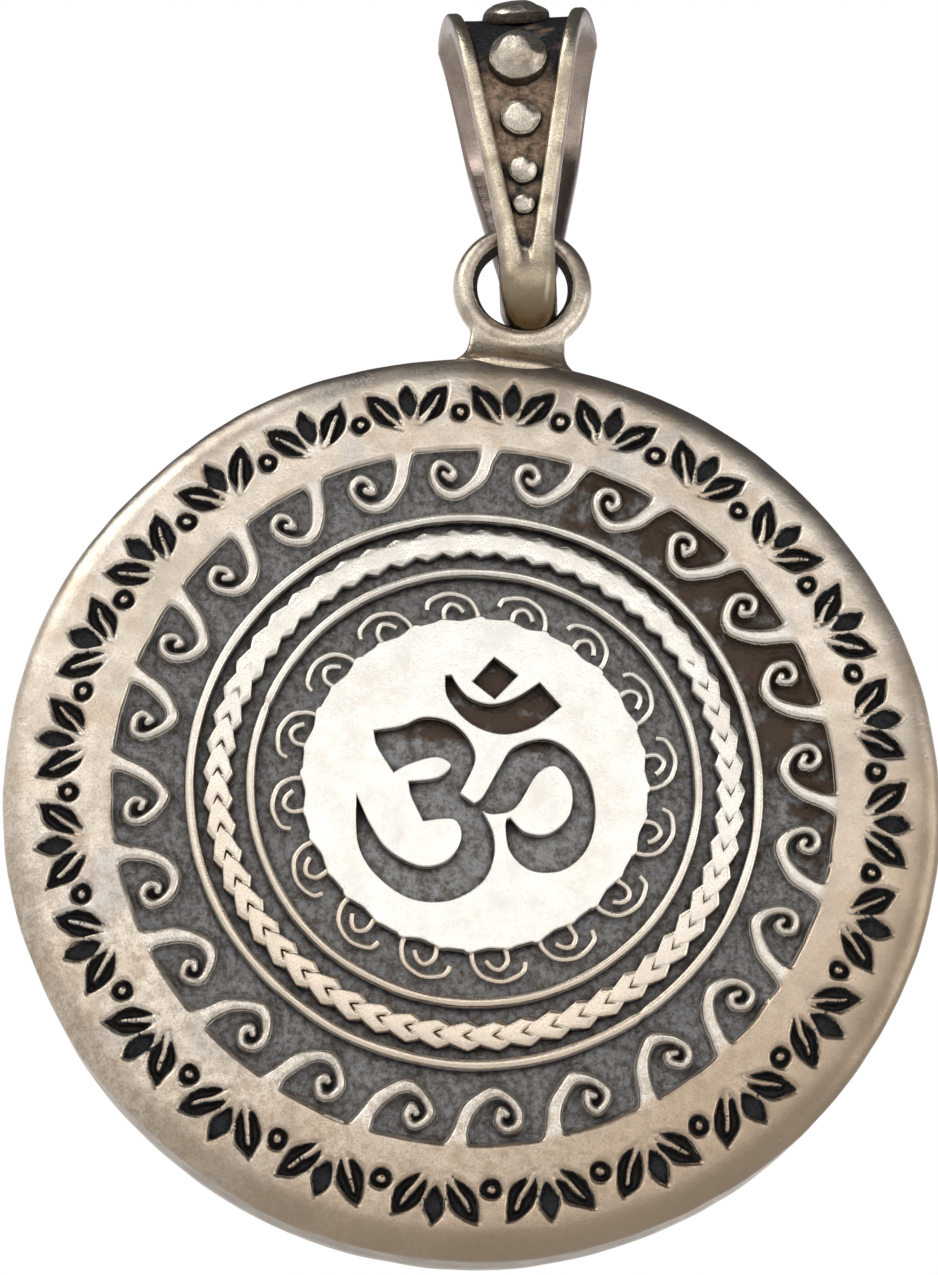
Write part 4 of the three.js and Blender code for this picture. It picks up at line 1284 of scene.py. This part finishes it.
def strap_mesh(settings):
    """The strap swept round its closed path: its points, its faces and its painted shares."""
    front = np.linspace(0, HALF_LENGTH, 150)
    stations = np.concatenate([front, -front[-2:0:-1]])
    rings, facing, shines, walls, bend_darkness = [], [], [], [], []
    for length in stations:
        point, normal = strap_at(length)
        section, shine, wall = strap_section(length, settings)
        across = section[:, 0] / np.abs(section[:, 0]).max()
        outer = smooth_step(section[:, 1], -0.6, -0.2)
        rail = outer * (shine > 0.5) * (np.abs(across) > 0.5)
        hump = 0.14 * math.exp(-((length / 2.4) ** 2)) * rail
        tongue = 0.52 * math.exp(-(((abs(length) - HALF_LENGTH + 0.2) / 1.4) ** 2))
        bulge = tongue * outer * (1 - across**2)
        ring = point + (section[:, 1] + hump + bulge)[:, None] * normal
        ring[:, 0] = section[:, 0]
        rings.append(ring)
        facing.append(np.tile(normal, (len(ring), 1)))
        shines.append(shine)
        walls.append(wall)
        # The outer face is painted darker towards the bend at the bottom.
        bend_darkness.append(outer * smooth_step(abs(length), HALF_LENGTH - 4.2, HALF_LENGTH - 0.2) * 0.95)
    spot, shine = np.vstack(rings), np.concatenate(shines)
    stray = settings.hand_wear / MM * (0.6 * ripple(spot, 3.5, 81) + 0.4 * ripple(spot, 1.1, 82))
    stray = stray + np.where(shine < 0.1, 0.05 * ripple(spot, 0.45, 83), 0.0)
    spot = spot + 0.6 * stray[:, None] * np.vstack(facing)
    faces = ring_faces(len(stations), len(rings[0]), closed=True)[:, ::-1]
    layers = {"polish": shine, "side": np.concatenate(walls), "stain": np.concatenate(bend_darkness)}
    return bail_frame(spot), faces, layers


def granule_points(settings):
    """Places, sizes and turns of the granules, front and then rear, each spun a little at random."""
    points, sizes, leans = [], [], []
    source = np.random.default_rng(7)
    right = Vector((1, 0, 0))
    for side in (1, -1):
        for place, diameter, height in GRANULES:
            point, normal = strap_at(side * place)
            outward = Vector(normal)
            basis = Matrix((right, outward.cross(right), outward)).transposed()
            spin = Matrix.Rotation(source.uniform(-0.6, 0.6), 3, "Z")
            points.append(bail_frame(point - normal * settings.channel_depth / MM))
            sizes.append((diameter / 2 * MM, diameter / 2 * MM, height / 0.8 * MM))
            leans.append(tuple((BAIL_TURN @ basis @ spin).to_euler()))
    return np.array(points), {"size": sizes, "turn": leans}


# Operators


class PENDANT_OT_medallion(bpy.types.Operator):
    """Builds the medallion's cast body: recess with waves, leaf band, rim, side and back"""

    bl_idname = "pendant.medallion"
    bl_label = "Medallion"

    def execute(self, context):
        settings = context.scene.pendant_medallion
        columns = settings.waves * POINTS_PER_UNIT
        body, faces, polish = recess_relief(settings)
        piece = new_piece("recess_relief", on_disc(body), faces, [recess_silver()], {"polish": polish})
        sharpen_seam(piece, columns, len(body) // columns - 3)
        finish_piece(piece, "medallion", "medallion_silver", "medallion_body")
        body, faces, polish, browned_and_shaded = leaf_band(settings)
        layers = {"polish": polish, "side": browned_and_shaded}
        piece = new_piece("leaf_band", on_disc(body), faces, [band_silver()], layers)
        sharpen_seam(piece, settings.leaf_groups * POINTS_PER_UNIT, 2, 1)
        finish_piece(piece, "medallion", "medallion_silver", "medallion_body")
        return {"FINISHED"}


class PENDANT_OT_wires(bpy.types.Operator):
    """Builds the two border wires on the recess floor"""

    bl_idname = "pendant.wires"
    bl_label = "Border wires"

    def execute(self, context):
        silver = applied_silver("border_wire", -0.32, -0.08, (0.98, 0.92, 0.83), shade_amount=0.3, dents=0.4,
                                ragged=0.15)
        wires = (("inner_wire", "inner_border_wire", INNER_WIRE, 285.0, 91),
                 ("outer_wire", "outer_border_wire", OUTER_WIRE, 140.0, 95))
        for name, node, (inner, outer), joint, seed in wires:
            body, faces = border_wire(inner, outer, joint, seed)
            piece = new_piece(name, on_disc(body), faces, [silver])
            finish_piece(piece, "medallion", "wire_silver", node)
        return {"FINISHED"}


class PENDANT_OT_plait(bpy.types.Operator):
    """Builds the plaited ring by repeating one chevron and wearing it smooth at the top"""

    bl_idname = "pendant.plait"
    bl_label = "Plaited ring"

    def execute(self, context):
        settings = context.scene.pendant_medallion
        silver = applied_silver("plait_silver", -0.3, -0.1, (0.99, 0.94, 0.86), shade_amount=0.2, dents=0.5)
        vertices, faces = chevron_unit(settings.chevrons)
        unit = new_piece("plait", vertices, faces, [silver])
        tree, sockets = round_tree("plait_round", swept=False)
        values = {"Count": settings.chevrons, "Wear": 1.0, "Centre": FACE, "Material": silver}
        piece = grown(unit, tree, sockets, values)
        finish_piece(piece, "medallion", "wire_silver", "plaited_ring")
        return {"FINISHED"}


class PENDANT_OT_boss(bpy.types.Operator):
    """Builds the polished boss with the sunk om sign"""

    bl_idname = "pendant.boss"
    bl_label = "Boss"

    def execute(self, context):
        body, faces = joined([boss_plate(context.scene.pendant_medallion.scrolls), sign_floor()])
        piece = new_piece("boss", on_disc(body), faces, [boss_silver()])
        piece.data.shade_flat()
        finish_piece(piece, "medallion", "boss_silver", "center_boss")
        return {"FINISHED"}


class PENDANT_OT_scrolls(bpy.types.Operator):
    """Builds the small scrolls round the boss by repeating one pair of lines"""

    bl_idname = "pendant.scrolls"
    bl_label = "Scrolls"

    def execute(self, context):
        settings = context.scene.pendant_medallion
        silver = applied_silver("scroll_silver", -0.46, -0.26, (0.99, 0.93, 0.84), shade_amount=0.2,
                                dents=0.4)
        tree, sockets = round_tree("scroll_round", swept=True)
        values = {"Count": settings.scrolls, "Wire Radius": settings.scroll_wire / 2, "Centre": FACE,
                  "Material": silver}
        piece = grown(shown("scrolls", scroll_curve()), tree, sockets, values)
        finish_piece(piece, "medallion", "boss_silver", "center_boss")
        return {"FINISHED"}


class PENDANT_OT_ring(bpy.types.Operator):
    """Builds the hanging ring with its soldered neck"""

    bl_idname = "pendant.ring"
    bl_label = "Hanging ring"

    def execute(self, context):
        low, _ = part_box("hanging_ring")
        silver = ring_silver(low.z / MM)
        body, faces = joined([ring_wire(), ring_neck(), solder_mound()])
        points, normals, faces = softened(new_piece("ring", on_disc(body), faces, [silver]), 0.06, 40)
        stray = 0.025 * ripple(points, 4.0, 111) + 0.008 * ripple(points, 1.2, 112)
        ring = new_piece("ring", points + normals * stray[:, None], faces, [silver])
        finish_piece(ring, "medallion", "ring_silver", "hanging_ring")
        return {"FINISHED"}


class PENDANT_OT_strap(bpy.types.Operator):
    """Builds the bail's tapered strap with its rails and sunk channel"""

    bl_idname = "pendant.strap"
    bl_label = "Bail strap"

    def execute(self, context):
        vertices, faces, layers = strap_mesh(context.scene.pendant_bail)
        piece = new_piece("strap", vertices, faces, [strap_silver()], layers)
        finish_piece(piece, "bail", "strap_silver", "bail_strap")
        return {"FINISHED"}


class PENDANT_OT_granules(bpy.types.Operator):
    """Sets the worn granules in the bail's channel, front and rear"""

    bl_idname = "pendant.granules"
    bl_label = "Granules"

    def execute(self, context):
        silver = granule_silver()
        points, layers = granule_points(context.scene.pendant_bail)
        carrier = new_piece("granules", points, [], [silver])
        for label, values in layers.items():
            layer = carrier.data.attributes.new(label, "FLOAT_VECTOR", "POINT")
            layer.data.foreach_set("vector", np.array(values, np.float32).ravel())
        tree, sockets = granule_tree()
        piece = grown(carrier, tree, sockets, {"Wear": 0.8, "Roughening": 0.16 * MM, "Material": silver})
        names = [f"{side}_granule_{i}" for side in ("front", "rear") for i in range(1, 6)]
        finish_piece(piece, "bail", "granule_silver", *names)
        return {"FINISHED"}


# Stage

# The camera, measured in millimetres from the middle of the face.
CAMERA_PLACE = (-1.52, -101.22, -30.71)
CAMERA_LOOK = (0.0069, 0.9408, 0.3389)
CAMERA_UP = (-0.1014, -0.3365, 0.9362)
CAMERA_LENS = 78.16

# Soft lamps: name, place and size in metres from the middle of the face, and brightness.
LAMPS = (
    ("key", (0.005, -0.42, 0.125), (0.5, 0.14), 0.68),
    ("upper_left", (-0.3, -0.25, 0.35), (0.3, 0.3), 2.0),
    ("right", (0.42, -0.2, 0.06), (0.2, 0.3), 1.2),
)


def pale_material(name, glow):
    """Pale paper. Where it glows, the camera and mirrors see it as plain white."""
    material = bpy.data.materials.new(name)
    material.use_nodes = True
    tree = material.node_tree
    tree.nodes.remove(tree.nodes["Principled BSDF"])
    matt = value_of(tree, "ShaderNodeBsdfDiffuse", {"Color": (0.8, 0.8, 0.79, 1)}).outputs[0]
    white = value_of(tree, "ShaderNodeEmission", {"Color": (1, 1, 1, 1), "Strength": 1.0}).outputs[0]
    path = tree.nodes.new("ShaderNodeLightPath")
    seen = math_node(tree, "MAXIMUM", path.outputs["Is Camera Ray"], path.outputs["Is Glossy Ray"])
    seen = math_node(tree, "MAXIMUM", seen, path.outputs["Is Transmission Ray"])
    mix = value_of(tree, "ShaderNodeMixShader", {0: times(tree, seen, glow), 1: matt, 2: white})
    link(tree, mix.outputs[0], tree.nodes["Material Output"].inputs["Surface"])
    return material


def paper(name, corners, glow):
    """A flat sheet of pale paper between four corners in millimetres."""
    return new_piece(name, np.array(corners), [(0, 1, 2, 3)], [pale_material(f"{name}_paper", glow)])


def soft_lamp(name, offset, size, brightness):
    """A soft rectangular lamp that faces the medallion; its brightness is what a mirror would see of it."""
    light = bpy.data.lights.new(name, "AREA")
    light.shape = "RECTANGLE"
    light.size, light.size_y = size
    light.energy = brightness * math.pi * size[0] * size[1]
    lamp = shown(name, light)
    lamp.location = FACE + Vector(offset)
    lamp.rotation_euler = Vector(offset).to_track_quat("Z", "Y").to_euler()


def place_camera(scene):
    camera = shown("camera", bpy.data.cameras.new("camera"))
    camera.data.lens = CAMERA_LENS
    camera.data.sensor_width = 36
    camera.data.clip_start = 0.001
    look = Vector(CAMERA_LOOK).normalized()
    upward = Vector(CAMERA_UP)
    upward = (upward - look * upward.dot(look)).normalized()
    turn = Matrix((look.cross(upward), upward, -look)).transposed().to_4x4()
    camera.matrix_world = Matrix.Translation(FACE + Vector(CAMERA_PLACE) * MM) @ turn
    scene.camera = camera


def light_room(scene):
    """A room with pale walls and a dark ceiling for the silver to mirror."""
    world = bpy.data.worlds.new("studio")
    scene.world = world
    world.use_nodes = True
    tree = world.node_tree
    height = parted(tree, tree.nodes.new("ShaderNodeTexCoord").outputs["Generated"])["Z"]
    walls = mixed(tree, ramp_share(tree, height, -0.1, 0.0), (0.42, 0.41, 0.4), (0.74, 0.74, 0.74))
    room = mixed(tree, ramp_share(tree, height, 0.4, 0.75), walls, (0.07, 0.07, 0.075))
    link(tree, room, tree.nodes["Background"].inputs["Color"])


class PENDANT_OT_stage(bpy.types.Operator):
    """Sets the camera, the pale floor and backdrop, and the soft lamps"""

    bl_idname = "pendant.stage"
    bl_label = "Stage"

    def execute(self, context):
        base = FACE.z / MM - 75
        corners = [(-2000, -2000, base), (2000, -2000, base), (2000, 700, base), (-2000, 700, base)]
        floor = paper("floor", corners, 0.5)
        corners = [(-700, 700, base), (700, 700, base), (700, 700, 480), (-700, 700, 480)]
        wall = paper("backdrop", corners, 1.0)
        place_camera(context.scene)
        for lamp in LAMPS:
            soft_lamp(*lamp)
        light_room(context.scene)
        context.scene.view_settings.view_transform = "Standard"
        return {"FINISHED"}


OPERATORS = (PENDANT_OT_stage, PENDANT_OT_medallion, PENDANT_OT_wires, PENDANT_OT_plait, PENDANT_OT_boss,
             PENDANT_OT_scrolls, PENDANT_OT_ring, PENDANT_OT_strap, PENDANT_OT_granules)


class PENDANT_PT_panel(bpy.types.Panel):
    """Lists the pendant's pieces and settings"""

    bl_idname = "PENDANT_PT_panel"
    bl_label = "Om pendant"
    bl_space_type = "VIEW_3D"
    bl_region_type = "UI"
    bl_category = "Pendant"

    def draw(self, context):
        for operator in OPERATORS:
            self.layout.operator(operator.bl_idname)
        for group in GROUPS:
            settings = getattr(context.scene, group)
            for name in settings.__annotations__:
                self.layout.prop(settings, name)


GROUPS = {
    "pendant_medallion": MedallionSettings,
    "pendant_bail": BailSettings,
    "pendant_finish": FinishSettings,
}


def register():
    for group in GROUPS.values():
        bpy.utils.register_class(group)
    for name, group in GROUPS.items():
        setattr(bpy.types.Scene, name, PointerProperty(type=group))
    for item in (*OPERATORS, PENDANT_PT_panel):
        bpy.utils.register_class(item)


def unregister():
    for item in (PENDANT_PT_panel, *reversed(OPERATORS)):
        bpy.utils.unregister_class(item)
    for name in GROUPS:
        delattr(bpy.types.Scene, name)
    for group in reversed(list(GROUPS.values())):
        bpy.utils.unregister_class(group)


def main():
    register()
    for operator in OPERATORS:
        group, name = operator.bl_idname.split(".")
        getattr(getattr(bpy.ops, group), name)()


if __name__ == "__main__":
    main()
